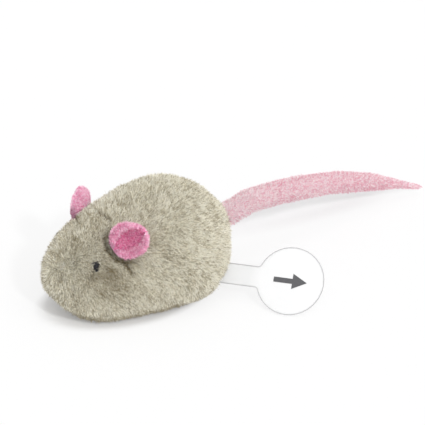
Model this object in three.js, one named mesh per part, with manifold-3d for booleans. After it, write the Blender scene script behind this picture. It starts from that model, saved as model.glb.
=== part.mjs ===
// Electronic mouse cat toy: a stuffed plush mouse, with a sound module inside that a pull tab switches on.
// Millimetres, +Z up. The nose points to -X, the tail to +X, and the mouse's left side is -Y.
// The origin is the middle of the flat patch under the belly that the toy rests on.
import * as THREE from 'three';
import { mergeVertices } from 'three/addons/utils/BufferGeometryUtils.js';
import Module from 'manifold-3d';

const wasm = await Module();
wasm.setup();

// Clearances
const seatGap = 0.3;
const overrun = 1;
const weldDistance = 1e-5;
const restFlatDepth = 0.5;

// Stuffed body
const bodyLength = 87.5;
const bodyWidth = 59;
const bodyHeight = 49;
const noseReachShare = 0.617;
const noseTipHeight = 21;
const rearTipHeight = 26;
const plushThickness = 2;
const widestShare = 0.617;
const highestShare = 0.685;
const flattestShare = 0.55;
const waistShare = 0.42;
const frontWidthPowers = { bend: 1.82, round: 1.97 };
const rearWidthPowers = { bend: 1.95, round: 1.7 };
const frontCrownPowers = { bend: 1.28, round: 1.97 };
const rearCrownPowers = { bend: 1.95, round: 1.7 };
const bellyPowers = { bend: 6, round: 1.6 };
const sectionPower = 2.8;
const bodyRows = 22;
const bodyColumns = 28;
const bodyShareStep = 1e-3;
const noseReach = noseReachShare * bodyLength;
const rearReach = bodyLength - noseReach;

// Seam between the side panels and the belly panel: low at the nose, higher under the tail
const bellySeamHeight = 10;
const bellySeamSlope = THREE.MathUtils.degToRad(4.3);

// Ears, given for the left one. The right one is mirrored, and lies a little lower.
const earRadius = 8.7;
const earThickness = 2.2;
const earDish = 2.4;
const earFold = 1.6;
const earRimWidth = 2.3;
const earRimHeight = 1.2;
const earLiningThickness = 0.9;
const earSink = 1.4;
const earStationShare = 0.293;
const earAngle = THREE.MathUtils.degToRad(56);
const leftEarRise = new THREE.Vector3(0.6, -0.5, 0.5);
const rightEarRise = new THREE.Vector3(0.745, -0.65, 0.15);
const earFacing = new THREE.Vector3(-0.66, -0.75, 0.04);
const earBackSwing = THREE.MathUtils.degToRad(10);
const earFrontSwing = THREE.MathUtils.degToRad(30);
const earRings = 5;
const liningRings = 3;
const earSegments = 16;
const earEdgePower = 6;

// Stitched eyes, given for the left one
const eyeLength = 4.6;
const eyeWidth = 3.2;
const eyeThickness = 1;
const eyeStationShare = 0.18;
const eyeAngle = THREE.MathUtils.degToRad(42);
const eyeLean = THREE.MathUtils.degToRad(12);
const eyeSegments = 12;
const eyeRings = 6;

// Tail: a tapered plush tube, laid over so that its tip comes down to the floor
const tailRootWidth = 10.4;
const tailRootHeight = 9.4;
const tailRootRise = 3;
const tailTipWidth = 3;
const tailTaperPower = 3;
const tailRows = 24;
const tailColumns = 12;
const tailReach = 99.7;
const tailPathShares = [
  { along: 0, aside: 0, up: 0 },
  { along: 0.075, aside: 0.013, up: 0.01 },
  { along: 0.347, aside: 0.07, up: -0.03 },
  { along: 0.621, aside: 0.139, up: -0.11 },
  { along: 0.837, aside: 0.17, up: -0.19 },
  { along: 1, aside: 0.16, up: -0.25 },
];

// Pull tab: a film strip with a round head, straight, lying in a plane of its own
const filmThickness = 0.3;
const stripWidth = 9;
const tabHeadRadius = 14.5;
const tabNeckRadius = 1.5;
const tabHeight = 11.7;
const tabHeading = THREE.MathUtils.degToRad(45);
const tabTilt = THREE.MathUtils.degToRad(50);
const stripExitAlongShare = 0.657;
const stripExitAsideShare = 0.61;
const stripShown = 29.3;
const stripInside = 20;
const stripPastCell = 0.7;
const tabSegments = 16;

// Sound module: a drum whose axis stands square to the film
const drumRadius = 15;
const drumWall = 1.1;
const drumFloor = 1;
const baseWallTop = 4;
const drumSegments = 24;
const smallSegments = 16;
const holeSegments = 10;

// Button cells
const cellCount = 3;
const cellRadius = 5.8;
const cellThickness = 3.05;
const cellRimRadius = 4.7;
const cellRimStep = 0.25;
const cellOffset = 5.5;
const wellWall = 0.8;
const contactThickness = 0.3;
const contactWidth = 8;
const contactArmWidth = 2;
const upperArmX = -4.4;

// Screws and the posts that they go into
const screwAngles = [25, 155, 215].map(THREE.MathUtils.degToRad);
const screwCircle = 11.6;
const screwShankRadius = 0.9;
const screwLength = 8;
const screwHeadRadius = 1.8;
const screwHeadHeight = 1.2;
const screwSlotWidth = 0.5;
const screwSlotDepth = 0.6;
const postRadius = 2.7;
const postStepRadius = 3.6;
const postTop = 3;
const headRecess = 0.4;

// Circuit board and what it carries
const boardThickness = 1;
const boardTop = 0;
const boardEdge = 2;
const chipRadius = 3;
const chipHeight = 1.4;
const chipSteps = 6;
const chipSeat = { x: 0, y: 7.4 };
const resistorRadius = 0.9;
const resistorLength = 3.6;
const resistorSeat = { x: -6, y: 9 };
const capacitorRadius = 2;
const capacitorHeight = 3.2;
const capacitorSeat = { x: 6, y: 9.2 };

// Piezo sounder under the grille
const sounderSeat = { x: 0, y: 7.8 };
const plateRadius = 6;
const plateThickness = 0.2;
const ceramicRadius = 4.5;
const ceramicThickness = 0.2;
const sounderLedge = 0.8;
const sounderRingWall = 0.8;
const grilleHoleRadius = 0.7;
const grilleCircle = 3;
const grilleHoles = 6;
const wireRadius = 0.45;
const wireBow = 0.7;
const wireSteps = 10;
const wireSegments = 4;
const redWireSeat = { x: -2.4, y: 10.6 };
const blackWireSeat = { x: 2.65, y: 12.4 };

// Motion switch: a ball loose in a can
const canRadius = 2;
const canWall = 0.4;
const canLength = 8;
const canSeat = { x: 0, y: 8.4 };
const plugLength = 1.2;
const plugPinRadius = 0.3;

// Colours and finishes
function finish(color, roughness, metalness) {
  return new THREE.MeshStandardMaterial({ color, roughness, metalness });
}

const furFinish = finish(0xbeb7a1, 0.95, 0);
const earBackFinish = finish(0xe08fb2, 0.95, 0);
const earLiningFinish = finish(0xd6437f, 0.95, 0);
const tailFinish = finish(0xeac3cb, 0.95, 0);
const threadFinish = finish(0x17181a, 0.7, 0);
const fibreFinish = finish(0xf2f0ea, 1, 0);
const filmFinish = finish(0xf5f5f3, 0.45, 0);
const housingFinish = finish(0xe9e7e0, 0.5, 0);
const steelFinish = finish(0xb9bcc0, 0.35, 1);
const stripFinish = finish(0xc2bfb8, 0.35, 1);
const brassFinish = finish(0xc8a24a, 0.35, 1);
const ceramicFinish = finish(0xe8e6dc, 0.4, 0);
const boardFinish = finish(0x2f6b3a, 0.5, 0);
const resinFinish = finish(0x141416, 0.35, 0);
const resistorFinish = finish(0xc9a878, 0.5, 0);
const capacitorFinish = finish(0x23304f, 0.4, 0);
const redFinish = finish(0xb0201c, 0.5, 0);
const blackFinish = finish(0x1c1c1e, 0.5, 0);

// Turns a closed geometry into a solid that can be cut, with a placement if one is given
function solidOf(geometry, placement = new THREE.Matrix4()) {
  const bare = geometry.clone();
  bare.deleteAttribute('normal');
  bare.deleteAttribute('uv');
  bare.applyMatrix4(placement);
  const merged = mergeVertices(bare, weldDistance);
  const vertProperties = Float32Array.from(merged.attributes.position.array);
  const triVerts = Uint32Array.from(merged.index.array);
  return new wasm.Manifold(new wasm.Mesh({ numProp: 3, vertProperties, triVerts }));
}

function geometryOf(solid) {
  const mesh = solid.getMesh();
  const geometry = new THREE.BufferGeometry();
  geometry.setAttribute('position', new THREE.BufferAttribute(Float32Array.from(mesh.vertProperties), 3));
  geometry.setIndex(Array.from(mesh.triVerts));
  geometry.computeVertexNormals();
  return geometry;
}

function moved(x, y, z) {
  return new THREE.Matrix4().makeTranslation(x, y, z);
}

function boxSolid(sizeX, sizeY, sizeZ, x, y, z) {
  return solidOf(new THREE.BoxGeometry(sizeX, sizeY, sizeZ), moved(x, y, z));
}

// An upright cylinder from one height to another
function rodGeometry(radius, low, high, segments = drumSegments) {
  const geometry = new THREE.CylinderGeometry(radius, radius, high - low, segments);
  geometry.rotateX(Math.PI / 2);
  geometry.translate(0, 0, (low + high) / 2);
  return geometry;
}

function rodSolid(radius, low, high, x = 0, y = 0, segments = drumSegments) {
  return solidOf(rodGeometry(radius, low, high, segments), moved(x, y, 0));
}

// A closed skin over a grid of rings between two end points. pointAt takes shares of both directions.
function closedSkin(rows, columns, pointAt) {
  const positions = [...pointAt(0, 0).toArray()];
  for (let row = 1; row < rows; row += 1) {
    for (let column = 0; column < columns; column += 1) {
      positions.push(...pointAt(row / rows, column / columns).toArray());
    }
  }
  positions.push(...pointAt(1, 0).toArray());
  const last = positions.length / 3 - 1;
  const at = (row, column) => 1 + (row - 1) * columns + (column % columns);
  const index = [];
  for (let column = 0; column < columns; column += 1) {
    index.push(0, at(1, column), at(1, column + 1));
    index.push(last, at(rows - 1, column + 1), at(rows - 1, column));
    for (let row = 1; row < rows - 1; row += 1) {
      index.push(at(row, column), at(row + 1, column), at(row + 1, column + 1));
      index.push(at(row, column), at(row + 1, column + 1), at(row, column + 1));
    }
  }
  return facingOut(positions, index);
}

// Reverses the triangles where the skin would enclose a negative volume
function facingOut(positions, index) {
  const corner = (i) => new THREE.Vector3().fromArray(positions, 3 * index[i]);
  let volume = 0;
  for (let i = 0; i < index.length; i += 3) {
    volume += corner(i).dot(corner(i + 1).cross(corner(i + 2)));
  }
  const geometry = new THREE.BufferGeometry();
  geometry.setAttribute('position', new THREE.Float32BufferAttribute(positions, 3));
  geometry.setIndex(volume < 0 ? index.slice().reverse() : index);
  geometry.computeVertexNormals();
  return geometry;
}

// Rises from 0 at both ends of the body to 1 at the peak, as two halves of a superellipse
function swell(share, peakShare, front, rear) {
  const ahead = share < peakShare;
  const reach = ahead ? (peakShare - share) / peakShare : (share - peakShare) / (1 - peakShare);
  const powers = ahead ? front : rear;
  return Math.max(0, 1 - reach ** powers.bend) ** (1 / powers.round);
}

// A point of the stuffed body. The angle runs round the body from its left waist over the back.
function bodyPoint(share, angle, inset = 0) {
  const tip = noseTipHeight + (rearTipHeight - noseTipHeight) * share;
  const crown = bodyHeight - inset;
  const floor = inset - restFlatDepth;
  const top = tip + (crown - tip) * swell(share, highestShare, frontCrownPowers, rearCrownPowers);
  const bottom = tip - (tip - floor) * swell(share, flattestShare, bellyPowers, bellyPowers);
  const waist = bottom + (top - bottom) * waistShare;
  const halfWidth = (bodyWidth / 2 - inset) * swell(share, widestShare, frontWidthPowers, rearWidthPowers);
  const across = Math.cos(angle);
  const rise = Math.sin(angle);
  const squared = (value) => Math.sign(value) * Math.abs(value) ** (2 / sectionPower);
  return new THREE.Vector3(
    inset - noseReach + share * (bodyLength - 2 * inset),
    -halfWidth * squared(across),
    rise > 0 ? waist + (top - waist) * rise : waist + (waist - bottom) * squared(rise),
  );
}

function bodySkin(inset) {
  return closedSkin(bodyRows, bodyColumns, (row, column) => {
    const share = (1 - Math.cos(Math.PI * row)) / 2;
    return bodyPoint(share, 2 * Math.PI * column, inset);
  });
}

// The outward direction of the body's skin at a point of its left side
function bodyNormal(share, angle) {
  const step = bodyShareStep;
  const along = bodyPoint(share + step, angle).sub(bodyPoint(share - step, angle));
  const around = bodyPoint(share, angle + step).sub(bodyPoint(share, angle - step));
  return along.cross(around).normalize();
}

// The module's frame: X along the strip towards its head, Z square to the film
const moduleTurn = new THREE.Euler(tabTilt, 0, -tabHeading, 'ZXY');
const stripDirection = new THREE.Vector3(1, 0, 0).applyEuler(moduleTurn);

// Heights in the drum, from its floor up: lower contact, film, cells, upper contact, lid
const cellsHeight = cellCount * (cellThickness + seatGap);
const stackHeight = cellsHeight + filmThickness + 2 * contactThickness + 3 * seatGap;
const drumHeight = stackHeight + 2 * drumFloor;
const drumBottom = -drumHeight / 2;
const drumTop = drumHeight / 2;
const innerBottom = drumBottom + drumFloor;
const innerTop = drumTop - drumFloor;
const lowerContactBottom = innerBottom + seatGap;
const filmBottom = lowerContactBottom + contactThickness + seatGap;
const filmMiddle = filmBottom + filmThickness / 2;
const firstCellBottom = filmBottom + filmThickness + seatGap;
const upperContactBottom = firstCellBottom + cellsHeight;
const innerRadius = drumRadius - drumWall;
const boardBottom = boardTop - boardThickness;

const stripExit = new THREE.Vector3(
  stripExitAlongShare * rearReach,
  -stripExitAsideShare * bodyWidth / 2,
  tabHeight,
);
const moduleSeat = new THREE.Vector3(-stripInside, cellOffset, -filmMiddle)
  .applyEuler(moduleTurn)
  .add(stripExit);
const modulePlacement = new THREE.Matrix4()
  .makeRotationFromEuler(moduleTurn)
  .setPosition(moduleSeat);

// The slit that the strip passes through, in the module's frame
function stripSlit(fromX, toX) {
  const slitWidth = stripWidth + 2 * seatGap;
  const slitHeight = filmThickness + 2 * seatGap;
  return boxSolid(toX - fromX, slitWidth, slitHeight, (fromX + toX) / 2, -cellOffset, filmMiddle);
}

function bodyPanels() {
  const slit = stripSlit(0, stripInside + stripShown - tabHeadRadius).transform(modulePlacement.elements);
  const shell = solidOf(bodySkin(0)).subtract(solidOf(bodySkin(plushThickness))).subtract(slit);
  const span = 2 * bodyLength;
  const shift = (span + seatGap) / 2;
  const seamPlane = new THREE.Matrix4()
    .makeTranslation(0, 0, bellySeamHeight)
    .multiply(new THREE.Matrix4().makeRotationY(-bellySeamSlope));
  const above = boxSolid(span, span, span, 0, 0, shift).transform(seamPlane.elements);
  const below = boxSolid(span, span, span, 0, 0, -shift).transform(seamPlane.elements);
  const leftHalf = boxSolid(span, span, span, 0, -shift, 0);
  const rightHalf = boxSolid(span, span, span, 0, shift, 0);
  const offFloor = boxSolid(span, span, span, 0, 0, span / 2);
  const sides = shell.intersect(above);
  return {
    left_side_panel: geometryOf(sides.intersect(leftHalf)),
    right_side_panel: geometryOf(sides.intersect(rightHalf)),
    belly_panel: geometryOf(shell.intersect(below).intersect(offFloor)),
  };
}

function fibreStuffing() {
  const pocket = rodSolid(drumRadius + seatGap, drumBottom - seatGap, drumTop + seatGap);
  const hollow = pocket.add(stripSlit(0, stripInside + tabHeadRadius)).transform(modulePlacement.elements);
  return geometryOf(solidOf(bodySkin(plushThickness + seatGap)).subtract(hollow));
}

// Height of the ear's back face along its facing direction: dished, and folded up along its middle line
function earBack(across, up) {
  const radial = Math.hypot(across, up - earRadius) / earRadius;
  const fold = Math.abs(across) / earRadius;
  const pinch = Math.max(0, 1 - up / earRadius);
  return earDish * radial ** 2 + earFold * fold * pinch;
}

// A round pad between two heights over the ear's plane, X facing, Z rising from the base
function earPad(radius, rings, backAt, frontAt) {
  return closedSkin(2 * rings, earSegments, (row, column) => {
    const onBack = row <= 0.5;
    const radial = radius * Math.sin(Math.PI * row);
    const turn = 2 * Math.PI * column;
    const across = radial * Math.sin(turn);
    const up = earRadius + radial * Math.cos(turn);
    const middle = (backAt(across, up) + frontAt(across, up)) / 2;
    const half = (frontAt(across, up) - backAt(across, up)) / 2;
    const roll = Math.sqrt(Math.max(0, 1 - Math.sin(Math.PI * row) ** earEdgePower));
    return new THREE.Vector3(middle + (onBack ? -half : half) * roll, across, up);
  });
}

function earFront(across, up) {
  const radial = Math.hypot(across, up - earRadius);
  const rimStart = earRadius - earRimWidth;
  const rim = THREE.MathUtils.smoothstep(radial, rimStart - earRimHeight, rimStart);
  return earBack(across, up) + earThickness - earRimHeight + earRimHeight * rim;
}

function liningBack(across, up) {
  return earBack(across, up) + earThickness - earRimHeight + seatGap;
}

function earParts(earRise) {
  const base = bodyPoint(earStationShare, earAngle);
  const facing = earFacing.clone().normalize();
  const across = earRise.clone().cross(facing).normalize();
  const rise = facing.clone().cross(across).normalize();
  const placement = new THREE.Matrix4().makeBasis(facing, across, rise).setPosition(base);
  const intoEar = placement.clone().invert();
  const head = bodySkin(-seatGap);
  const sunk = moved(-earThickness / 2, 0, -earSink);
  const cutByHead = (geometry) => {
    let solid = solidOf(geometry, sunk);
    for (const swing of [-earBackSwing, 0, earFrontSwing]) {
      const turned = new THREE.Matrix4().makeRotationY(-swing).multiply(intoEar);
      solid = solid.subtract(solidOf(head, turned));
    }
    return geometryOf(solid);
  };
  const liningRadius = earRadius - earRimWidth - earRimHeight - seatGap;
  const liningFront = (y, z) => liningBack(y, z) + earLiningThickness;
  return {
    placement,
    back: cutByHead(earPad(earRadius, earRings, earBack, earFront)),
    lining: cutByHead(earPad(liningRadius, liningRings, liningBack, liningFront)),
  };
}

function eyeStitches() {
  const outward = bodyNormal(eyeStationShare, eyeAngle);
  const forward = new THREE.Vector3(-1, 0, 0).projectOnPlane(outward).normalize();
  const upward = outward.clone().cross(forward).normalize();
  const placement = new THREE.Matrix4()
    .makeBasis(forward, upward, outward)
    .setPosition(bodyPoint(eyeStationShare, eyeAngle))
    .multiply(new THREE.Matrix4().makeRotationZ(eyeLean));
  const bundle = new THREE.SphereGeometry(eyeWidth / 2, eyeSegments, eyeRings);
  bundle.scale(1, eyeLength / eyeWidth, 2 * eyeThickness / eyeWidth);
  const head = solidOf(bodySkin(-seatGap), placement.clone().invert());
  return { placement, stitches: geometryOf(solidOf(bundle).subtract(head)) };
}

// The tail's middle line from the centre of its rounded root to its tip
const tailRootRadius = tailRootWidth / 2;
const tailRootX = rearReach + seatGap + tailRootRadius;
const tailRoot = new THREE.Vector3(tailRootX, 0, rearTipHeight + tailRootRise);
const tailPath = new THREE.CatmullRomCurve3(tailPathShares.map((place) => new THREE.Vector3(
  place.along * tailReach,
  place.aside * tailReach,
  place.up * tailReach,
)));

function tailCover() {
  const capShare = tailRootRadius / tailReach;
  const tipShare = tailTipWidth / tailReach;
  const tipRatio = tailTipWidth / tailRootWidth;
  return closedSkin(tailRows, tailColumns, (row, column) => {
    const turn = 2 * Math.PI * column;
    const run = (1 - Math.cos(Math.PI * row)) / 2 * (1 + capShare) - capShare;
    const on = Math.max(0, run);
    const point = tailPath.getPointAt(on);
    const along = tailPath.getTangentAt(on);
    const side = new THREE.Vector3(-along.y, along.x, 0).normalize();
    const up = along.clone().cross(side);
    const taper = tipRatio + (1 - tipRatio) * (1 - on ** tailTaperPower);
    const tipRound = Math.sqrt(Math.max(0, 1 - Math.max(0, (on - 1 + tipShare) / tipShare) ** 2));
    const behind = Math.min(0, run) / capShare;
    const rootRound = Math.sqrt(Math.max(0, 1 - behind ** 2));
    const grow = taper * tipRound * rootRound;
    return point
      .addScaledVector(along, behind * tailRootRadius)
      .addScaledVector(side, Math.cos(turn) * grow * tailRootWidth / 2)
      .addScaledVector(up, Math.sin(turn) * grow * tailRootHeight / 2);
  });
}

function pullTab() {
  const headX = stripInside + stripShown;
  const innerEnd = -cellRadius - stripPastCell;
  const half = stripWidth / 2;
  const reach = tabHeadRadius + tabNeckRadius;
  const neckX = headX - Math.sqrt(reach ** 2 - (half + tabNeckRadius) ** 2);
  const headAngle = Math.atan2(half + tabNeckRadius, neckX - headX);
  const outline = new THREE.Shape();
  outline.moveTo(innerEnd, -half);
  outline.lineTo(neckX, -half);
  outline.absarc(neckX, -half - tabNeckRadius, tabNeckRadius, Math.PI / 2, Math.PI - headAngle, true);
  outline.absarc(headX, 0, tabHeadRadius, -headAngle, headAngle, false);
  outline.absarc(neckX, half + tabNeckRadius, tabNeckRadius, headAngle - Math.PI, -Math.PI / 2, true);
  outline.lineTo(innerEnd, half);
  const film = new THREE.ExtrudeGeometry(outline, {
    depth: filmThickness, bevelEnabled: false, curveSegments: tabSegments,
  });
  film.translate(0, -cellOffset, filmBottom);
  return geometryOf(solidOf(film));
}

function screwPlaces() {
  return screwAngles.map((angle) => ({ x: screwCircle * Math.cos(angle), y: screwCircle * Math.sin(angle) }));
}

const headSeat = drumTop - headRecess - screwHeadHeight - seatGap;

function moduleBase() {
  const wellRadius = cellRadius + seatGap;
  const wellTop = upperContactBottom - cellThickness;
  const room = rodSolid(innerRadius + drumWall / 2, drumBottom, baseWallTop);
  let base = rodSolid(drumRadius, drumBottom, baseWallTop);
  base = base.subtract(rodSolid(innerRadius, innerBottom, baseWallTop + overrun));
  base = base.add(rodSolid(wellRadius + wellWall, drumBottom, wellTop, 0, -cellOffset).intersect(room));
  base = base.subtract(rodSolid(wellRadius, innerBottom, drumTop, 0, -cellOffset));
  const aroundWell = rodSolid(wellRadius + wellWall, drumBottom, drumTop, 0, -cellOffset);
  for (const place of screwPlaces()) {
    const step = rodSolid(postStepRadius, drumBottom, boardBottom - seatGap, place.x, place.y);
    const post = rodSolid(postRadius, drumBottom, postTop, place.x, place.y);
    base = base.add(post.add(step.subtract(aroundWell)).intersect(room));
  }
  const boreBottom = headSeat - screwLength - seatGap;
  for (const place of screwPlaces()) {
    base = base.subtract(rodSolid(screwShankRadius + seatGap, boreBottom, drumTop, place.x, place.y));
  }
  const armNotch = boxSolid(
    contactArmWidth + 2 * seatGap,
    2 * wellWall + 2 * overrun,
    contactThickness + 2 * seatGap,
    0,
    wellRadius - cellOffset,
    lowerContactBottom + contactThickness / 2,
  );
  const innerStrip = -cellRadius - stripPastCell - seatGap;
  return geometryOf(base.subtract(armNotch).subtract(stripSlit(innerStrip, drumRadius + overrun)));
}

function moduleCover() {
  const skirtBottom = baseWallTop + seatGap;
  const coverHollow = rodSolid(innerRadius, skirtBottom - overrun, innerTop);
  const ledgeBottom = innerTop - sounderLedge;
  const ringRadius = plateRadius - seatGap;
  const { x: middleX, y: middleY } = sounderSeat;
  const ring = rodSolid(ringRadius, ledgeBottom, drumTop, middleX, middleY)
    .subtract(rodSolid(ringRadius - sounderRingWall, ledgeBottom - overrun, innerTop, middleX, middleY));
  const room = rodSolid(innerRadius + drumWall / 2, skirtBottom, drumTop)
    .add(rodSolid(innerRadius - seatGap, postTop, drumTop));
  let cover = rodSolid(drumRadius, skirtBottom, drumTop).subtract(coverHollow).add(ring);
  for (const place of screwPlaces()) {
    const boss = rodSolid(postRadius, postTop + seatGap, drumTop, place.x, place.y);
    cover = cover.add(boss.intersect(room));
  }
  const shankBore = screwShankRadius + seatGap;
  const headBore = screwHeadRadius + seatGap;
  for (const place of screwPlaces()) {
    cover = cover.subtract(rodSolid(shankBore, postTop - overrun, drumTop, place.x, place.y));
    cover = cover.subtract(rodSolid(headBore, headSeat, drumTop + overrun, place.x, place.y));
  }
  const holes = [sounderSeat];
  for (let hole = 0; hole < grilleHoles; hole += 1) {
    const angle = 2 * Math.PI * hole / grilleHoles;
    holes.push({ x: middleX + grilleCircle * Math.cos(angle), y: middleY + grilleCircle * Math.sin(angle) });
  }
  const grilleLow = innerTop - overrun;
  const grilleHigh = drumTop + overrun;
  for (const hole of holes) {
    cover = cover.subtract(rodSolid(grilleHoleRadius, grilleLow, grilleHigh, hole.x, hole.y, holeSegments));
  }
  return geometryOf(cover);
}

function housingScrew() {
  const profile = [
    new THREE.Vector2(0, -screwLength),
    new THREE.Vector2(screwShankRadius / 2, -screwLength + screwShankRadius),
    new THREE.Vector2(screwShankRadius, -screwLength + 2 * screwShankRadius),
    new THREE.Vector2(screwShankRadius, 0),
    new THREE.Vector2(screwHeadRadius, 0),
    new THREE.Vector2(screwHeadRadius, screwHeadHeight / 2),
    new THREE.Vector2(screwHeadRadius / 2, screwHeadHeight),
    new THREE.Vector2(0, screwHeadHeight),
  ];
  const turned = new THREE.LatheGeometry(profile, smallSegments);
  turned.rotateX(Math.PI / 2);
  const slotHeight = screwHeadHeight - screwSlotDepth / 4;
  const crossing = boxSolid(screwHeadRadius, screwSlotWidth, screwSlotDepth, 0, 0, slotHeight)
    .add(boxSolid(screwSlotWidth, screwHeadRadius, screwSlotDepth, 0, 0, slotHeight));
  return geometryOf(solidOf(turned).subtract(crossing));
}

function buttonCell() {
  const profile = [
    new THREE.Vector2(0, 0),
    new THREE.Vector2(cellRimRadius, 0),
    new THREE.Vector2(cellRimRadius, cellRimStep),
    new THREE.Vector2(cellRadius, 2 * cellRimStep),
    new THREE.Vector2(cellRadius, cellThickness),
    new THREE.Vector2(0, cellThickness),
  ];
  const turned = new THREE.LatheGeometry(profile, drumSegments);
  turned.rotateX(Math.PI / 2);
  return geometryOf(solidOf(turned));
}

// A square contact plate whose arm runs past the well and turns to the board
function lowerContact() {
  const armEnd = boardEdge + 2 * contactArmWidth;
  const armLength = armEnd + cellOffset;
  const low = lowerContactBottom;
  const middle = low + contactThickness / 2;
  const rise = boardBottom - seatGap - low;
  const riserY = armEnd - contactThickness / 2;
  const plate = boxSolid(contactWidth, contactWidth, contactThickness, 0, -cellOffset, middle);
  const arm = boxSolid(contactArmWidth, armLength, contactThickness, 0, armEnd - armLength / 2, middle);
  const riser = boxSolid(contactArmWidth, contactThickness, rise, 0, riserY, low + rise / 2);
  return geometryOf(plate.add(arm).add(riser));
}

function upperContact() {
  const armEnd = boardEdge + contactThickness + seatGap;
  const armLength = armEnd + cellOffset;
  const middle = upperContactBottom + contactThickness / 2;
  const high = upperContactBottom + contactThickness;
  const drop = high - boardTop - seatGap;
  const armY = armEnd - armLength / 2;
  const riserY = armEnd - contactThickness / 2;
  const plate = boxSolid(contactWidth, contactWidth, contactThickness, 0, -cellOffset, middle);
  const arm = boxSolid(contactArmWidth, armLength, contactThickness, upperArmX, armY, middle);
  const riser = boxSolid(contactArmWidth, contactThickness, drop, upperArmX, riserY, high - drop / 2);
  return geometryOf(plate.add(arm).add(riser));
}

function circuitBoard() {
  let board = rodSolid(innerRadius - seatGap, boardBottom, boardTop);
  const keptHalf = boxSolid(2 * drumRadius, drumRadius, drumHeight, 0, boardEdge + drumRadius / 2, 0);
  board = board.intersect(keptHalf);
  for (const place of screwPlaces()) {
    board = board.subtract(rodSolid(postRadius + seatGap, drumBottom, drumTop, place.x, place.y));
    if (place.y > 0) {
      const cornerX = place.x + Math.sign(place.x) * drumRadius / 2;
      board = board.subtract(boxSolid(drumRadius, place.y, drumHeight, cornerX, place.y / 2, 0));
    }
  }
  return geometryOf(board);
}

function soundChip() {
  const profile = [new THREE.Vector2(0, 0)];
  for (let step = 0; step <= chipSteps; step += 1) {
    const turn = Math.PI / 2 * step / chipSteps;
    profile.push(new THREE.Vector2(chipRadius * Math.cos(turn), chipHeight * Math.sin(turn)));
  }
  profile[profile.length - 1].x = 0;
  const drop = new THREE.LatheGeometry(profile, smallSegments);
  drop.rotateX(Math.PI / 2);
  return geometryOf(solidOf(drop));
}

// A lying rod along X, with bevelled ends
function lyingRod(radius, length) {
  const bevel = radius / 3;
  const profile = [
    new THREE.Vector2(0, -length / 2),
    new THREE.Vector2(radius - bevel, -length / 2),
    new THREE.Vector2(radius, bevel - length / 2),
    new THREE.Vector2(radius, length / 2 - bevel),
    new THREE.Vector2(radius - bevel, length / 2),
    new THREE.Vector2(0, length / 2),
  ];
  const rod = new THREE.LatheGeometry(profile, smallSegments);
  rod.rotateZ(-Math.PI / 2);
  return geometryOf(solidOf(rod));
}

// The can opens towards +X, where the plug closes it
function motionCan() {
  const inner = canRadius - canWall;
  const profile = [
    new THREE.Vector2(0, 0),
    new THREE.Vector2(canRadius, 0),
    new THREE.Vector2(canRadius, canLength),
    new THREE.Vector2(inner, canLength),
    new THREE.Vector2(inner, canWall),
    new THREE.Vector2(0, canWall),
  ];
  const can = new THREE.LatheGeometry(profile, smallSegments);
  can.rotateZ(-Math.PI / 2);
  return geometryOf(solidOf(can));
}

function motionPlug() {
  const stubRadius = canRadius - canWall - seatGap;
  const stub = new THREE.CylinderGeometry(stubRadius, stubRadius, plugLength, smallSegments);
  stub.rotateZ(Math.PI / 2);
  const flange = new THREE.CylinderGeometry(canRadius, canRadius, canWall, smallSegments);
  flange.rotateZ(Math.PI / 2);
  const pinReach = canRadius + seatGap + canWall;
  const pin = new THREE.BoxGeometry(2 * plugPinRadius, 2 * plugPinRadius, pinReach);
  const pinX = plugLength / 2 + canWall + plugPinRadius;
  const foot = new THREE.BoxGeometry(canWall + 2 * plugPinRadius, 2 * plugPinRadius, 2 * plugPinRadius);
  return geometryOf(solidOf(stub)
    .add(solidOf(flange, moved((plugLength + canWall) / 2, 0, 0)))
    .add(solidOf(foot, moved((plugLength + canWall) / 2 + canWall, 0, 0)))
    .add(solidOf(pin, moved(pinX, 0, pinReach / 2 - canWall - plugPinRadius))));
}

// A wire from the board up to one of the sounder's layers, bowed towards the middle
function soundWire(seat, layerBottom) {
  const low = boardTop + seatGap;
  const high = layerBottom - seatGap;
  const bow = Math.sign(seat.x) * wireBow;
  const path = new THREE.CatmullRomCurve3([
    new THREE.Vector3(seat.x, seat.y, low),
    new THREE.Vector3(seat.x, seat.y, low + wireRadius),
    new THREE.Vector3(seat.x - bow, seat.y, (low + high) / 2),
    new THREE.Vector3(seat.x, seat.y, high - wireRadius),
    new THREE.Vector3(seat.x, seat.y, high),
  ]);
  const section = new THREE.Shape();
  section.absarc(0, 0, wireRadius, 0, 2 * Math.PI, false);
  return geometryOf(solidOf(new THREE.ExtrudeGeometry(section, {
    extrudePath: path, steps: wireSteps, curveSegments: wireSegments, bevelEnabled: false,
  })));
}

// Heights of the sounder's two layers under the lid
const plateBottom = innerTop - sounderLedge - seatGap - plateThickness;
const ceramicBottom = plateBottom - seatGap - ceramicThickness;

function part(name, geometry, material, x = 0, y = 0, z = 0) {
  const mesh = new THREE.Mesh(geometry, material);
  mesh.name = name;
  mesh.position.set(x, y, z);
  return mesh;
}

function addBody(group) {
  const panels = bodyPanels();
  for (const [name, geometry] of Object.entries(panels)) {
    group.add(part(name, geometry, furFinish));
  }
  group.add(part('fibre_stuffing', fibreStuffing(), fibreFinish));
}

// Mirrors a placed geometry to the other side of the middle plane
function mirrored(geometry, placement) {
  const flipped = geometry.clone().applyMatrix4(placement);
  flipped.scale(1, -1, 1);
  return facingOut(Array.from(flipped.attributes.position.array), Array.from(flipped.index.array));
}

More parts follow.
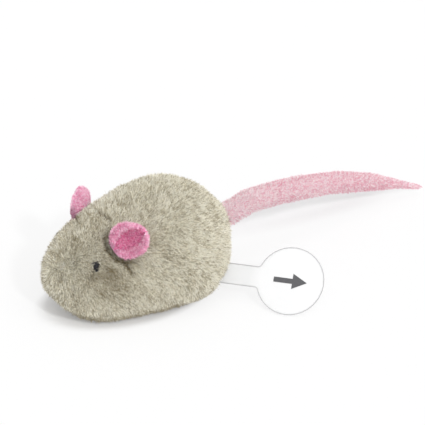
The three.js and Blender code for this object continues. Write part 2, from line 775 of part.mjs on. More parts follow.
function addFace(group) {
  const left = earParts(leftEarRise);
  const leftEar = new THREE.Group();
  leftEar.applyMatrix4(left.placement);
  leftEar.add(part('left_ear_back', left.back, earBackFinish));
  leftEar.add(part('left_ear_lining', left.lining, earLiningFinish));
  const right = earParts(rightEarRise);
  const eye = eyeStitches();
  const leftEye = part('left_eye', eye.stitches, threadFinish);
  leftEye.applyMatrix4(eye.placement);
  group.add(leftEar, leftEye);
  group.add(part('right_ear_back', mirrored(right.back, right.placement), earBackFinish));
  group.add(part('right_ear_lining', mirrored(right.lining, right.placement), earLiningFinish));
  group.add(part('right_eye', mirrored(eye.stitches, eye.placement), threadFinish));
}

function addModule(group) {
  const drum = new THREE.Group();
  drum.rotation.copy(moduleTurn);
  drum.position.copy(moduleSeat);
  drum.add(part('module_base', moduleBase(), housingFinish));
  drum.add(part('module_cover', moduleCover(), housingFinish));
  screwPlaces().forEach((place, order) => {
    const name = `housing_screw_${order + 1}`;
    drum.add(part(name, housingScrew(), steelFinish, place.x, place.y, headSeat + seatGap));
  });
  for (let cell = 0; cell < cellCount; cell += 1) {
    const low = firstCellBottom + cell * (cellThickness + seatGap);
    drum.add(part(`button_cell_${cell + 1}`, buttonCell(), steelFinish, 0, -cellOffset, low));
  }
  drum.add(part('lower_contact', lowerContact(), stripFinish));
  drum.add(part('upper_contact', upperContact(), stripFinish));
  drum.add(part('circuit_board', circuitBoard(), boardFinish));
  drum.add(part('sound_chip', soundChip(), resinFinish, chipSeat.x, chipSeat.y, boardTop + seatGap));
  drum.add(part('resistor', lyingRod(resistorRadius, resistorLength), resistorFinish,
    resistorSeat.x, resistorSeat.y, boardTop + seatGap + resistorRadius));
  drum.add(part('capacitor', rodGeometry(capacitorRadius, 0, capacitorHeight, smallSegments), capacitorFinish,
    capacitorSeat.x, capacitorSeat.y, boardTop + seatGap));
  drum.add(part('sounder_plate', rodGeometry(plateRadius, 0, plateThickness), brassFinish,
    sounderSeat.x, sounderSeat.y, plateBottom));
  drum.add(part('sounder_ceramic', rodGeometry(ceramicRadius, 0, ceramicThickness), ceramicFinish,
    sounderSeat.x, sounderSeat.y, ceramicBottom));
  drum.add(part('sounder_wire_red', soundWire(redWireSeat, ceramicBottom), redFinish));
  drum.add(part('sounder_wire_black', soundWire(blackWireSeat, plateBottom), blackFinish));
  const canHeight = boardBottom - seatGap - canRadius;
  const canStart = canSeat.x - canLength / 2;
  const ballRadius = canRadius - canWall - seatGap;
  drum.add(part('motion_can', motionCan(), steelFinish, canStart, canSeat.y, canHeight));
  drum.add(part('motion_plug', motionPlug(), housingFinish,
    canStart + canLength + seatGap - plugLength / 2, canSeat.y, canHeight));
  drum.add(part('motion_ball', new THREE.SphereGeometry(ballRadius, smallSegments, holeSegments), steelFinish,
    canStart + canWall + seatGap + ballRadius, canSeat.y, canHeight));
  drum.add(part('pull_tab', pullTab(), filmFinish));
  group.add(drum);
}

const group = new THREE.Group();
addBody(group);
addFace(group);
group.add(part('tail', tailCover(), tailFinish, tailRoot.x, tailRoot.y, tailRoot.z));
addModule(group);

export default group;
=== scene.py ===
"""Electronic mouse cat toy: plush body, ears, eyes and tail, the film tab, and the sound module inside.

Shapes are worked out in millimetres and put into the meshes in metres. The nose points to -X, the tail to
+X, and the mouse's left side is -Y. Names of sizes that the model's source also has stand for the same
lengths here.
"""

import math
from contextlib import contextmanager

import bmesh
import bpy
import numpy as np
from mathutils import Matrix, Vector


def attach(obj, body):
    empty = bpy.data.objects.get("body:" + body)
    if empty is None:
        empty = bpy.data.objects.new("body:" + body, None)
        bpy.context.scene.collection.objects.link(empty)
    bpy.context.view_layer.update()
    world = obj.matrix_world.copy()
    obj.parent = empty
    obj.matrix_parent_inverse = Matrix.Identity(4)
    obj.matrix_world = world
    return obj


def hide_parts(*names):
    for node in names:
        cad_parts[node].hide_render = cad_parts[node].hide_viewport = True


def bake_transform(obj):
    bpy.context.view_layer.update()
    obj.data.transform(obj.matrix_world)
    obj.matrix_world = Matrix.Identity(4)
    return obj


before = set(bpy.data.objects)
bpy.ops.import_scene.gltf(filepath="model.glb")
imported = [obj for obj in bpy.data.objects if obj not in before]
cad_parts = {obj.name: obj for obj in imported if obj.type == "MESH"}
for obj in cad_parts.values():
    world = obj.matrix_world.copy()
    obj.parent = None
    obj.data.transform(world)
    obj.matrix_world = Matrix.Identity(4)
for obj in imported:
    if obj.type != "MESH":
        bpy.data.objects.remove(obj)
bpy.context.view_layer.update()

bl_info = {
    "name": "Plush mouse cat toy",
    "version": (1, 0, 0),
    "blender": (4, 5, 0),
    "location": "View3D > Sidebar > Toy mouse",
    "description": "Dresses the toy mouse: plush, ears, eyes, tail, film tab and the sound module inside",
    "category": "Add Mesh",
}

MM = 0.001
SEED = 20

# The stuffed body's form
BODY_LENGTH, BODY_WIDTH, BODY_HEIGHT = 87.5, 59.0, 49.0
NOSE_REACH = 0.617 * BODY_LENGTH
REAR_REACH = BODY_LENGTH - NOSE_REACH
NOSE_TIP_HEIGHT, REAR_TIP_HEIGHT = 21.0, 26.0
WIDEST, HIGHEST, FLATTEST, WAIST = 0.617, 0.685, 0.55, 0.42
FRONT_WIDTH, REAR_WIDTH = (1.82, 1.97), (1.95, 1.7)
FRONT_CROWN, REAR_CROWN = (1.28, 1.97), (1.95, 1.7)
BELLY = (6.0, 1.6)
SECTION_POWER = 2.8
REST_DEPTH = 0.5
SEAM_HEIGHT, SEAM_SLOPE = 10.0, math.radians(4.3)

# The plush of the body: the backing's depth under the pile's tips and its thickness, how far the snout is
# drawn in, the grid of a panel, and the crease depth from which the pile is all in shade
BACKING_INSET, CLOTH_THICKNESS = 1.35, 0.6
SNOUT_BACK, SNOUT_SHARE = 0.9, 0.11
PANEL_ROWS, PANEL_COLUMNS = 150, 110
# From this crease depth on, the pile is all in painted shade
SHADED_DEPTH = 1.6
BODY_MIDDLE = np.array((0.0, 0.0, 24.0))

# The cloth that is blown up for the stuffed form, what is taken over from it, and how far from the seams, the
# eyes and the ears the plush is held
FORM_ROWS, FORM_COLUMNS, FORM_INSET, FORM_SCALE = 46, 64, 2.35, 6.0
FORM_FRAMES, FORM_PRESSURE, FORM_GROWTH = 20, 4.0, 0.04
PUSH_SHARE, PUSH_CAP, PUSH_BACK = 0.8, 0.9, 0.3
SEAM_HELD, BACK_HELD, EYE_HELD, EAR_HELD = 1.4, 1.3, 8.0, 13.0

# Creases where the plush folds in, whose depth also paints shade into the pile: from, to, depth, half width
CREASES = (
    ((-50.3, -7.2, 26.5), (-53.3, -5.2, 19.6), 1.0, 0.7),
    ((-39.5, -19.2, 19.6), (-34.4, -22.0, 15.6), 0.8, 0.8),
    ((-27.8, -21.0, 32.2), (-25.2, -24.3, 26.3), 2.2, 0.75),
    ((-24.9, -21.3, 33.6), (-20.8, -24.9, 28.4), 0.9, 0.8),
    ((-30.9, -8.6, 39.8), (-32.7, -13.4, 36.9), 1.2, 1.0),
    ((-32.7, -13.4, 36.9), (-30.9, -18.7, 33.0), 2.0, 1.0),
    ((-30.9, -18.7, 33.0), (-28.0, -21.0, 31.6), 2.0, 1.0),
    ((-28.0, -21.0, 31.6), (-24.6, -22.4, 31.4), 1.4, 0.9),
    ((-25.0, 6.6, 42.2), (-24.1, -3.2, 42.7), 1.7, 0.8),
    ((-24.1, -3.2, 42.7), (-27.0, -7.6, 40.9), 0.8, 0.8),
    ((-43.5, -13.0, 26.0), (-35.0, -20.2, 25.6), 0.7, 2.4),
    ((-36.0, -17.4, 30.6), (-30.5, -21.6, 26.0), 0.7, 2.0),
    ((-15.4, 6.0, 45.2), (-14.5, -4.2, 45.4), 0.6, 1.4),
    ((-28.4, 20.6, 32.4), (-24.9, 24.3, 26.6), 1.5, 0.8),
    ((-31.5, 12.0, 38.0), (-29.6, 19.8, 32.6), 1.4, 1.0),
    ((-43.0, 16.4, 14.0), (-38.2, 19.4, 19.0), 0.9, 0.9),
    ((24.0, 16.0, 30.0), (30.0, 7.0, 34.0), 0.7, 1.4),
    ((25.0, -15.5, 27.0), (30.5, -7.0, 32.0), 0.6, 1.4),
)

# Where painted shade makes the head's plush darker and browner, on both sides alike: the middle, the reach,
# and by how much
HEAD_SHADE_SPOTS = (
    (np.array((-33.5, -21.0, 25.0)), np.array((9.0, 10.0, 8.0)), 0.5),
    (np.array((-36.0, -6.0, 37.0)), np.array((9.0, 10.0, 8.0)), 0.24),
)

# The ears' place and form, given for the left one; the right one is mirrored, with its own rise and shift
EAR_RADIUS, EAR_THICKNESS, EAR_DISH, EAR_FOLD = 8.7, 2.2, 2.4, 1.6
EAR_SINK, EAR_STATION, EAR_ANGLE = 1.4, 0.293, math.radians(56)
EAR_LIP, LIP_PLACE, LIP_WIDTH = 0.9, 1.5, 1.3
HOLLOW_LOW, HOLLOW_HIGH, HOLLOW_HALF, HOLLOW_LEAN, HOLLOW_DEPTH = 0.7, 17.3, 5.3, 0.10, 1.2
# The ears are narrowed across; pile turned towards the nose and down takes painted shade
EAR_NARROW, EAR_SHADE_SIDE = 0.93, np.array((-0.75, 0.0, -0.65))
EAR_SHIFTS = {"left": -0.8, "right": 1.6}
EAR_FACING = (-0.66, -0.75, 0.04)
EAR_RISES = {"left": (0.6, -0.5, 0.5), "right": (0.745, -0.65, 0.15)}
CUP_GRID, CUP_INSET = (96, 96), 0.45
LINING_GRID, LINING_LIFT, LINING_THICKNESS = (48, 64), 0.25, 0.75

# The piles of the ears and the tail: how many needles, and their width, lean, tufts and noise
CUP_NEEDLES, CUP_PILE = 9500, {"width": 0.46, "lean": math.radians(24), "tuft": 0.6, "seed": 400}
LINING_NEEDLES, LINING_PILE = 4800, {"width": 0.42, "lean": math.radians(30), "tuft": 0.6, "seed": 430}
TAIL_NEEDLES, TAIL_PILE = 31000, {"width": 0.5, "lean": math.radians(32), "tuft": 0.6, "seed": 700}

# The eyes: nine stitches side by side and four across them
EYE_STATION, EYE_ANGLE, EYE_LEAN = 0.18, math.radians(42), math.radians(-16)
SIDE_STITCHES, CROSS_STITCHES, EYE_SPREAD, THREAD_RADIUS = 9, 4, 3.7, 0.24
SIDE_RISE, CROSS_RISE, CROSS_HALF, CROSS_LEAN, STITCH_SUNK = 0.9, 1.15, 1.35, 1.2, 0.35
THREAD_RINGS, THREAD_SIDES, EYE_INSET = 15, 8, 0.75

# The tail's middle line, as shares of its reach, its taper, and where its pile is lighter and darker along it
TAIL_ROOT = (REAR_REACH + 0.3 + 5.2, 0.0, 29.0)
TAIL_REACH, TAIL_WIDTH, TAIL_DEPTH, TAIL_TIP, TAPER_POWER = 99.7, 10.4, 9.4, 3.0, 3
TAIL_TUCK, TAIL_INSET = 9.5, 0.75
TAIL_RINGS, TAIL_SIDES, FINE_FROM, FINER = 220, 56, 0.72, 0.55
LIGHT_TO, LIGHT_FADE, DARK_FROM, DARK_FADE = 66.0, 26.0, 85.0, 30.0
TAIL_SHARES = (
    (0, 0, 0), (0.075, 0.013, 0.01), (0.347, 0.07, -0.03),
    (0.621, 0.139, -0.11), (0.837, 0.17, -0.19), (1, 0.16, -0.25),
)

# The film tab, how far round its head's middle it stays pale and from where it is all grey, the arrow printed
# on it, and the module's frame
TAB_TILT, TAB_HEADING = math.radians(50), math.radians(45)
TAB_HEAD, TAB_TOP, TAB_EDGE = (49.3, -5.5), -4.725, 0.36
# The strip's grey, growing away from the head, is painted shade
PALE_TO, GREY_FROM = 13.0, 18.0
ARROW_HALF, ARROW_NECK, SHAFT_HALF, POINT_HALF = 7.2, 0.9, 1.1, 3.3
PRINT_LIFT, PRINT_THICKNESS = 0.02, 0.03
MODULE_SEAT = (7.7348, -3.9937, 19.0468)
RESISTOR_PLACE, RESISTOR_LENGTH, RING_WIDTH = -6.0, 3.6, 0.07

# The lamps, in degrees: how wide each is, how far it is turned from straight in front, and how high it stands
LAMPS = (("Key lamp", 5, -6, 36), ("Fill lamp", 60, -10, 60))

# The photograph's frame: 425 pixels square, 0.42 mm to a pixel; and the width of the camera's sensor, in mm
FRAME_PIXELS, PIXEL, SENSOR = 425, 0.42, 36.0
VIEW_TURN, VIEW_RISE = math.radians(-30), math.radians(29)
ORIGIN_PIXEL = (155.9, 291.4)

# Where the floor keeps its shadow, an ellipse under the toy and one along its tail: the middle, the reach,
# the shares of the reach where the lift starts and ends, and the share of the lift inside
FLOOR_HALF = 1500.0
FOOT = ((-14.5, 3.0), (41.0, 27.0), 0.84, 0.99, 0.3)
STREAK = ((92.0, 36.0), (62.0, 18.0), 0.6, 1.0, 0.25)


# Numbers over whole arrays

# The factors by which the noise spreads the numbers of its cells and its seed, and mixes them
CELL_FACTORS, SEED_FACTOR = np.array((73856093, 19349663, 83492791)), 40503
MIXING, HIGHEST_MIXED = ((13, 1274126177), (16, 2246822519)), 0xFFFFFFFF


def unit(vectors):
    """Vectors shortened or lengthened to one."""
    return vectors / np.maximum(np.linalg.norm(vectors, axis=-1, keepdims=True), 1e-9)


def smooth(share):
    """Eases from 0 to 1: three times the square less twice the cube."""
    share = np.clip(share, 0, 1)
    return share * share * (3 - 2 * share)


def bell(off, width):
    """1 in the middle of a groove or a rise, falling off to both sides over its width."""
    return np.exp(-((off / width) ** 2))


def crowded(count, margin=0.0):
    """Shares from 0 to 1 that crowd towards both ends by a cosine."""
    return (1 - np.cos(np.linspace(margin, math.pi - margin, count))) / 2


def hashed(cells, seed):
    """A repeatable number from 0 to 1 for each whole-number cell, from multiplied and folded cell numbers."""
    parts = cells.astype(np.int64) * CELL_FACTORS
    mixed = parts[..., 0] ^ parts[..., 1] ^ parts[..., 2] ^ seed * SEED_FACTOR
    for shift, factor in MIXING:
        mixed = ((mixed ^ (mixed >> shift)) * factor) & HIGHEST_MIXED
    return (mixed ^ (mixed >> 15)).astype(float) / HIGHEST_MIXED


def patchy(points, size, seed):
    """Smooth noise from -1 to 1: hashed numbers at the eight cell corners round a point, eased between."""
    place = points / size
    cell = np.floor(place)
    share = smooth(place - cell)
    total = np.zeros(points.shape[:-1])
    for corner in np.ndindex(2, 2, 2):
        near = np.where(np.array(corner) == 1, share, 1 - share).prod(-1)
        total += near * hashed(cell + corner, seed)
    return 2 * total - 1


def swell(share, peak, front, rear):
    """Rises from 0 at both ends to 1 at the peak, as two halves of a superellipse."""
    ahead = share < peak
    reach = np.where(ahead, (peak - share) / peak, (share - peak) / (1 - peak))
    bend = np.where(ahead, front[0], rear[0])
    power = np.where(ahead, front[1], rear[1])
    return np.maximum(0, 1 - np.clip(reach, 0, 1) ** bend) ** (1 / power)


def body_point(share, angle, inset=0.0):
    """A point of the body: half superellipses carry its top, bottom and width; the angle runs round it."""
    tip = NOSE_TIP_HEIGHT + (REAR_TIP_HEIGHT - NOSE_TIP_HEIGHT) * share
    top = tip + (BODY_HEIGHT - inset - tip) * swell(share, HIGHEST, FRONT_CROWN, REAR_CROWN)
    bottom = tip - (tip - inset + REST_DEPTH) * swell(share, FLATTEST, BELLY, BELLY)
    waist = bottom + (top - bottom) * WAIST
    half = (BODY_WIDTH / 2 - inset) * swell(share, WIDEST, FRONT_WIDTH, REAR_WIDTH)
    across, rise = np.cos(angle), np.sin(angle)
    squared = np.sign(across) * np.abs(across) ** (2 / SECTION_POWER)
    lowered = np.sign(rise) * np.abs(rise) ** (2 / SECTION_POWER)
    height = np.where(rise > 0, waist + (top - waist) * rise, waist + (waist - bottom) * lowered)
    along = inset - NOSE_REACH + share * (BODY_LENGTH - 2 * inset)
    return np.stack(np.broadcast_arrays(along, -half * squared, height), -1)


def seam_plane(points):
    """Height over the plane that parts the side panels from the belly panel."""
    return (points[..., 2] - SEAM_HEIGHT) * math.cos(SEAM_SLOPE) - points[..., 0] * math.sin(SEAM_SLOPE)


def folded(points):
    """How deep the creases take the plush in, in mm; each fades out towards its ends.

    Thin partings lie where a fine noise is near 0 and a coarse one is high, and are deeper on the head.
    """
    depth_in = np.zeros(points.shape[:-1])
    for start, end, depth, width in CREASES:
        start, end = np.array(start), np.array(end)
        run = end - start
        share = np.clip(((points - start) @ run) / (run @ run), 0, 1)
        off = np.linalg.norm(points - start - share[..., None] * run, axis=-1)
        depth_in += depth * bell(off, width) * (0.55 + 0.45 * np.sin(math.pi * share))
    parting = bell(patchy(points, 6.5, 91), 0.07) * smooth(2.2 * patchy(points, 13.0, 92) - 0.1)
    return depth_in + parting * (0.35 + 0.55 * smooth((-10 - points[..., 0]) / 20))


def relief(points):
    """How far the plush stands out, in mm: uneven stuffing, less the grooves along the seams."""
    uneven = 0.55 * patchy(points, 15.0, 3) + 0.22 * patchy(points, 6.0, 4)
    seam = seam_plane(points)
    return uneven - 0.4 * bell(seam, 1.2) - 0.2 * bell(points[..., 1], 1.1) * smooth(seam / 3)


# Surfaces, and what is made from them

def directions(points, wrap=False, middle=None):
    """Outward directions of a grid of points, from its differences both ways, away from its middle."""
    if wrap:
        around = (np.roll(points, -1, 1) - np.roll(points, 1, 1)) / 2
    else:
        around = np.gradient(points, axis=1)
    outward = unit(np.cross(np.gradient(points, axis=0), around))
    middle = points.mean((0, 1)) if middle is None else middle
    return -outward if np.mean(np.sum(outward * (points - middle), -1)) < 0 else outward


def linked(name, data):
    """An object of this data, put into the scene."""
    piece = bpy.data.objects.new(name, data)
    bpy.context.scene.collection.objects.link(piece)
    return piece


@contextmanager
def edited(source, mesh=None):
    """A mesh open for work on its faces; the work goes back into it, or into another mesh."""
    work = bmesh.new()
    work.from_mesh(source)
    yield work
    work.to_mesh(source if mesh is None else mesh)
    work.free()


def new_mesh(name, points, faces, smooth_faces=True):
    """An object whose mesh has these points, in mm, and these equal-sided faces."""
    mesh = bpy.data.meshes.new(name)
    mesh.vertices.add(len(points))
    mesh.vertices.foreach_set("co", (points * MM).astype(np.float32).ravel())
    mesh.loops.add(faces.size)
    mesh.loops.foreach_set("vertex_index", faces.astype(np.int32).ravel())
    mesh.polygons.add(len(faces))
    mesh.polygons.foreach_set("loop_start", np.arange(0, faces.size, faces.shape[1], dtype=np.int32))
    mesh.update(calc_edges=True)
    mesh.validate()
    mesh.polygons.foreach_set("use_smooth", np.full(len(mesh.polygons), smooth_faces))
    return linked(name, mesh)


def grid_faces(rows, columns, wrap):
    """Four-sided faces between the points of a grid, closed round its columns where it wraps."""
    row, column = np.meshgrid(np.arange(rows - 1), np.arange(columns if wrap else columns - 1), indexing="ij")
    after = (column + 1) % columns
    low, high = row * columns, (row + 1) * columns
    return np.stack((low + column, high + column, high + after, low + after), -1).reshape(-1, 4)


def welded(piece, distance=0.02):
    """Merges points that lie on each other, such as a grid's poles, and turns the faces outwards."""
    with edited(piece.data) as work:
        bmesh.ops.remove_doubles(work, verts=work.verts, dist=distance * MM)
        bmesh.ops.dissolve_degenerate(work, edges=work.edges, dist=distance * MM)
        bmesh.ops.recalc_face_normals(work, faces=work.faces)
    return piece


def skin(name, points, wrap=False):
    """A piece from a grid of points."""
    return welded(new_mesh(name, points.reshape(-1, 3), grid_faces(*points.shape[:2], wrap)))


def solidified(piece, thickness):
    """Gives a skin a thickness in mm, inwards."""
    wall = piece.modifiers.new("Cloth thickness", "SOLIDIFY")
    wall.thickness = thickness * MM
    wall.offset = -1
    return piece


def scattered(points, outward, count, draw, wrap=False):
    """Random places over a grid, evenly by area, with their outward and lengthwise directions and a reader.

    The reader gives the value of any grid of the same shape at those places.
    """
    def closed(grid):
        return np.concatenate((grid, grid[:, :1]), 1) if wrap else grid

    points, outward = closed(points), closed(outward)
    one, two = points[1:, 1:] - points[:-1, :-1], points[1:, :-1] - points[:-1, 1:]
    area = np.linalg.norm(np.cross(one, two), axis=-1) / 2
    edges = np.cumsum(area.ravel())
    picks = np.searchsorted(edges, (np.arange(count) + draw.random(count)) / count * edges[-1])
    row, column = np.unravel_index(np.clip(picks, 0, area.size - 1), area.shape)
    u, v = draw.random((count, 1)), draw.random((count, 1))

    def read(grid):
        near = grid[row, column] * (1 - v) + grid[row, column + 1] * v
        far = grid[row + 1, column] * (1 - v) + grid[row + 1, column + 1] * v
        return near * (1 - u) + far * u

    along = points[row + 1, column] - points[row, column]
    return read(points), unit(read(outward)), unit(along), lambda grid: read(closed(grid)[..., None])[:, 0]


# How needles differ: how far their lean follows the tuft and their own draw, how many stray and by how much,
# how far tips draw together and roots sink in, and the share of thick ones
TUFT_LEAN, OWN_LEAN, LEAST_RISE = 0.7, 0.2, 0.3
STRAY_SHARE, STRAY_LENGTH, STRAY_FINE = 0.035, 0.35, 0.4
TUFT_DRAW, ROOT_SINK = 0.5, 0.15
THICK_SHARE, THICKER = 0.08, 0.5


def pile(name, roots, outward, lie, length, draw, *, width, lean, tuft, seed, shaded=0.0, tone=0.0):
    """Plush pile as closed four-sided needles.

    A needle stands on a small triangle round its root and ends in a point. It leans from the outward
    direction towards the lie of the pile, each a little differently, and a few strays reach further. Needles
    whose roots share a cell of the tuft's size make a tuft: they lean alike, have like shades, and their tips
    draw together. Four numbers ride on the points: the needle's shade, how far up it the point is, its
    warmth, and how deep in shade it stands. The tone lightens the shade.
    """
    count = len(roots)
    wander = np.stack([patchy(roots, 1.7 * tuft, seed + axis) for axis in range(3)], -1)
    cell = np.floor((roots + 0.4 * tuft * wander) / tuft)
    alike = np.stack([hashed(cell, seed + 5 + axis) for axis in range(3)], -1) - 0.5
    own = draw.normal(size=(count, 3))
    away = outward * math.cos(lean) + unit(lie) * math.sin(lean)
    away = unit(away + TUFT_LEAN * alike + OWN_LEAN * own)
    height = np.sum(away * outward, -1, keepdims=True)
    away = unit(away + outward * np.maximum(0, LEAST_RISE - height))
    stray = (draw.random((count, 1)) < STRAY_SHARE) * 1.0
    uneven = 0.74 + 0.3 * draw.random((count, 1)) + 0.3 * (hashed(cell, seed + 9)[:, None] - 0.5)
    inward = (cell + 0.5) * tuft - roots
    inward -= outward * np.sum(inward * outward, -1, keepdims=True)
    inward *= np.minimum(1, 0.8 * tuft / np.maximum(np.linalg.norm(inward, axis=-1, keepdims=True), 1e-6))
    tips = roots + length * (uneven + STRAY_LENGTH * stray) * away + TUFT_DRAW * inward
    side = unit(np.cross(away, own))
    other = np.cross(away, side)
    start = draw.random(count) * 2 * math.pi
    thick = (draw.random((count, 1)) < THICK_SHARE) * THICKER
    half = width / 2 * (0.75 + 0.4 * draw.random((count, 1)) + thick) * (1 - STRAY_FINE * stray)
    corners = []
    for turn in (start, start + 2 * math.pi / 3, start + 4 * math.pi / 3):
        round_root = np.cos(turn)[:, None] * side + np.sin(turn)[:, None] * other
        corners.append(roots - ROOT_SINK * outward + half * round_root)
    points = np.stack((*corners, tips), 1)
    points[..., 2] = np.maximum(points[..., 2], 0.05)
    faces = np.arange(count)[:, None, None] * 4 + np.array(((0, 2, 1), (0, 1, 3), (1, 2, 3), (2, 0, 3)))
    piece = new_mesh(name, points.reshape(-1, 3), faces.reshape(-1, 3), smooth_faces=False)
    shade = 0.5 + 0.5 * draw.normal(size=count) + 1.3 * (hashed(cell, seed + 12) - 0.5) + tone
    values = np.zeros((count, 4, 4), np.float32)
    values[:, :, 0] = np.clip(shade, 0, 1)[:, None]
    values[:, 3, 1] = 1
    values[:, :, 2] = hashed(cell, seed + 14)[:, None]
    # The fourth number is how deep in painted shade the needle stands
    values[:, :, 3] = np.broadcast_to(np.asarray(shaded), (count,))[:, None]
    look = piece.data.color_attributes.new("pile", "FLOAT_COLOR", "POINT")
    look.data.foreach_set("color", values.ravel())
    bake_cells(piece, count)
    return piece


def bake_cells(piece, count):
    """A bake map with one square cell to each needle, its root at the cell's foot and its tip at the top."""
    side = math.ceil(math.sqrt(count))
    column, row = np.arange(count) % side, np.arange(count) // side
    across = np.array(((0.2, 0.8, 0.5), (0.2, 0.5, 0.5), (0.35, 0.65, 0.5), (0.5, 0.8, 0.5)))
    up = np.array(((0.1, 0.1, 0.2), (0.1, 0.1, 0.9), (0.1, 0.1, 0.9), (0.1, 0.1, 0.9)))
    places = np.stack(((column[:, None, None] + across) / side, (row[:, None, None] + up) / side), -1)
    layer = piece.data.uv_layers.new(name="OFBake")
    layer.data.foreach_set("uv", places.astype(np.float32).ravel())


# Shader nodes

def sign(kind, swapped=False):
    """The method behind a sign between two shader values: it adds one Math node."""
    def method(self, other):
        return self.nodes.maths(kind, *((other, self) if swapped else (self, other)))

    return method


class Value:
    """A shader socket that takes part in sums."""

    def __init__(self, nodes, socket):
        self.nodes, self.socket = nodes, socket

    __add__ = __radd__ = sign("ADD")
    __mul__ = __rmul__ = sign("MULTIPLY")
    __sub__, __rsub__ = sign("SUBTRACT"), sign("SUBTRACT", swapped=True)
    __truediv__ = sign("DIVIDE")


class Nodes:
    """A node tree under construction, whose sockets take numbers, colours or other nodes' values."""

    def __init__(self, tree):
        self.tree = tree

    def put(self, socket, value):
        """Gives a socket a number, a colour or a link."""
        if isinstance(value, Value):
            self.tree.links.new(value.socket, socket)
        elif isinstance(value, (tuple, list)) and len(value) == 3 and socket.type == "RGBA":
            socket.default_value = (*value, 1)
        else:
            socket.default_value = value

    def node(self, kind, inputs=None, **choices):
        """One node of a kind: its own settings first, then its sockets by name or number."""
        made = self.tree.nodes.new(kind)
        for name, value in choices.items():
            setattr(made, name, value)
        for name, value in (inputs or {}).items():
            self.put(made.inputs[name], value)
        return made

    def value(self, kind, inputs=None, output=0, **choices):
        """What one output of a new node gives."""
        return Value(self, self.node(kind, inputs, **choices).outputs[output])

    def parts(self, kind, socket):
        """The numbers that a colour or a vector is made of."""
        return [Value(self, out) for out in self.node(kind, {0: socket}).outputs[:3]]

    def maths(self, kind, *terms):
        """A number from one Math node."""
        return self.value("ShaderNodeMath", dict(enumerate(terms)), operation=kind)

    def mix(self, share, one, two):
        """A colour between two others."""
        return self.value("ShaderNodeMix", {0: share, 6: one, 7: two}, output=2, data_type="RGBA")

    def ramp(self, share, *stops, steps=False):
        """A colour by a share, from stops of place and colour; in steps, each holds until the next."""
        made = self.node("ShaderNodeValToRGB", {0: share})
        ramp = made.color_ramp
        ramp.interpolation = "CONSTANT" if steps else "LINEAR"
        while len(ramp.elements) < len(stops):
            ramp.elements.new(0.5)
        for element, (place, color) in zip(ramp.elements, stops):
            element.position, element.color = place, (*color, 1)
        return Value(self, made.outputs[0])

    def between(self, value, start, end, low, high):
        """Goes from the low level to the high one while a value goes from its start to its end."""
        return self.value("ShaderNodeMapRange", {"Value": value, "From Min": start, "From Max": end,
                                                 "To Min": low, "To Max": high})

    def place(self, turn=(0, 0, 0), centre=(0, 0, 0)):
        """The point on the piece, in metres, turned and centred where a pattern needs it."""
        spot = self.value("ShaderNodeTexCoord", output=3)
        return self.value("ShaderNodeMapping", {"Vector": spot, "Location": centre, "Rotation": turn},
                          vector_type="TEXTURE")

    def noise(self, scale, detail=2.0, roughness=0.5):
        """Noise over the piece, with its scale in waves to the metre."""
        return self.value("ShaderNodeTexNoise", {"Vector": self.place(), "Scale": scale, "Detail": detail,
                                                 "Roughness": roughness})


class Finish(Nodes):
    """A material under construction, on a Principled surface."""

    def __init__(self, name, **sockets):
        self.material = bpy.data.materials.new(name)
        self.material.use_nodes = True
        super().__init__(self.material.node_tree)
        self.surface = next(node for node in self.tree.nodes if node.type == "BSDF_PRINCIPLED")
        self.set(**sockets)

    def set(self, **sockets):
        """Fills sockets of the surface, named with underscores for spaces."""
        for name, value in sockets.items():
            self.put(self.surface.inputs[name.replace("_", " ")], value)

    def bump(self, height, strength, distance):
        """Lets a value raise the surface, by a distance in mm."""
        self.set(Normal=self.value("ShaderNodeBump", {"Height": height, "Strength": strength,
                                                      "Distance": distance * MM}))


def times(color, factor):
    """A colour made darker or lighter, none of it over 1."""
    return tuple(min(1.0, c * factor) for c in color)


def paled(color, share):
    """A colour drawn a share of the way to white."""
    return tuple(c + (1 - c) * share for c in color)


# How much more than its own draw a needle's shade differs from the middle one, and how its warmth tints it
STRANDS, WARM_TINT = 2.2, (1.06, 0.98, 0.84)


def pile_finish(name, dark, base, light, fold, roots, grain=1600, contrast=9.0, sheen=0.3):
    """Plush pile: each needle has its own shade and a fine grain, and painted shade darkens its root.

    Where painted shade lies on them, the needles take the fold colour.
    """
    finish = Finish(name, Roughness=0.7, Sheen_Weight=sheen, Sheen_Roughness=0.5, Sheen_Tint=light,
                    Specular_IOR_Level=0.3)
    ride = finish.node("ShaderNodeAttribute", attribute_name="pile", attribute_type="GEOMETRY")
    shade, rise, warmth = finish.parts("ShaderNodeSeparateColor", Value(finish, ride.outputs["Color"]))
    deep = Value(finish, ride.outputs["Alpha"])
    specks = (finish.noise(grain, 1, 0.5) - 0.5) * contrast
    strand = shade * STRANDS + (0.5 - 0.5 * STRANDS)
    own = finish.ramp(strand + specks, (0.0, dark), (0.33, base), (0.66, light))
    warm = finish.mix(warmth * 0.3, own, tuple(c * tint for c, tint in zip(base, WARM_TINT)))
    # Painted shade: the needle darkens towards its root, and takes the fold colour where it stands in shade
    foot = finish.mix(1 - rise, warm, times(base, roots))
    finish.set(Base_Color=finish.mix(deep * 0.9, foot, fold))
    return finish.material


def backing_finish(name, color, light):
    """The cloth under the pile: fine uneven flecks, darker than the pile's tips."""
    finish = Finish(name, Roughness=0.95, Specular_IOR_Level=0.1)
    fleck = finish.noise(2200, 3, 0.6)
    share = fleck * 0.6 + finish.noise(160, 2, 0.5) * 0.4
    finish.set(Base_Color=finish.ramp(share, (0.35, color), (0.65, light)))
    finish.bump(fleck, 0.5, 0.3)
    return finish.material


def dressed(piece, body, slot, material, *nodes):
    """Gives a piece its material, the body it rides on and the CAD nodes it stands for; its record slot is
    not used.
    """
    if piece.data.materials:
        piece.data.materials.clear()
    piece.data.materials.append(material)
    if body:
        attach(piece, body)
    if nodes:
        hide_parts(*nodes)
    return piece


# Sizes and colours that a user would change

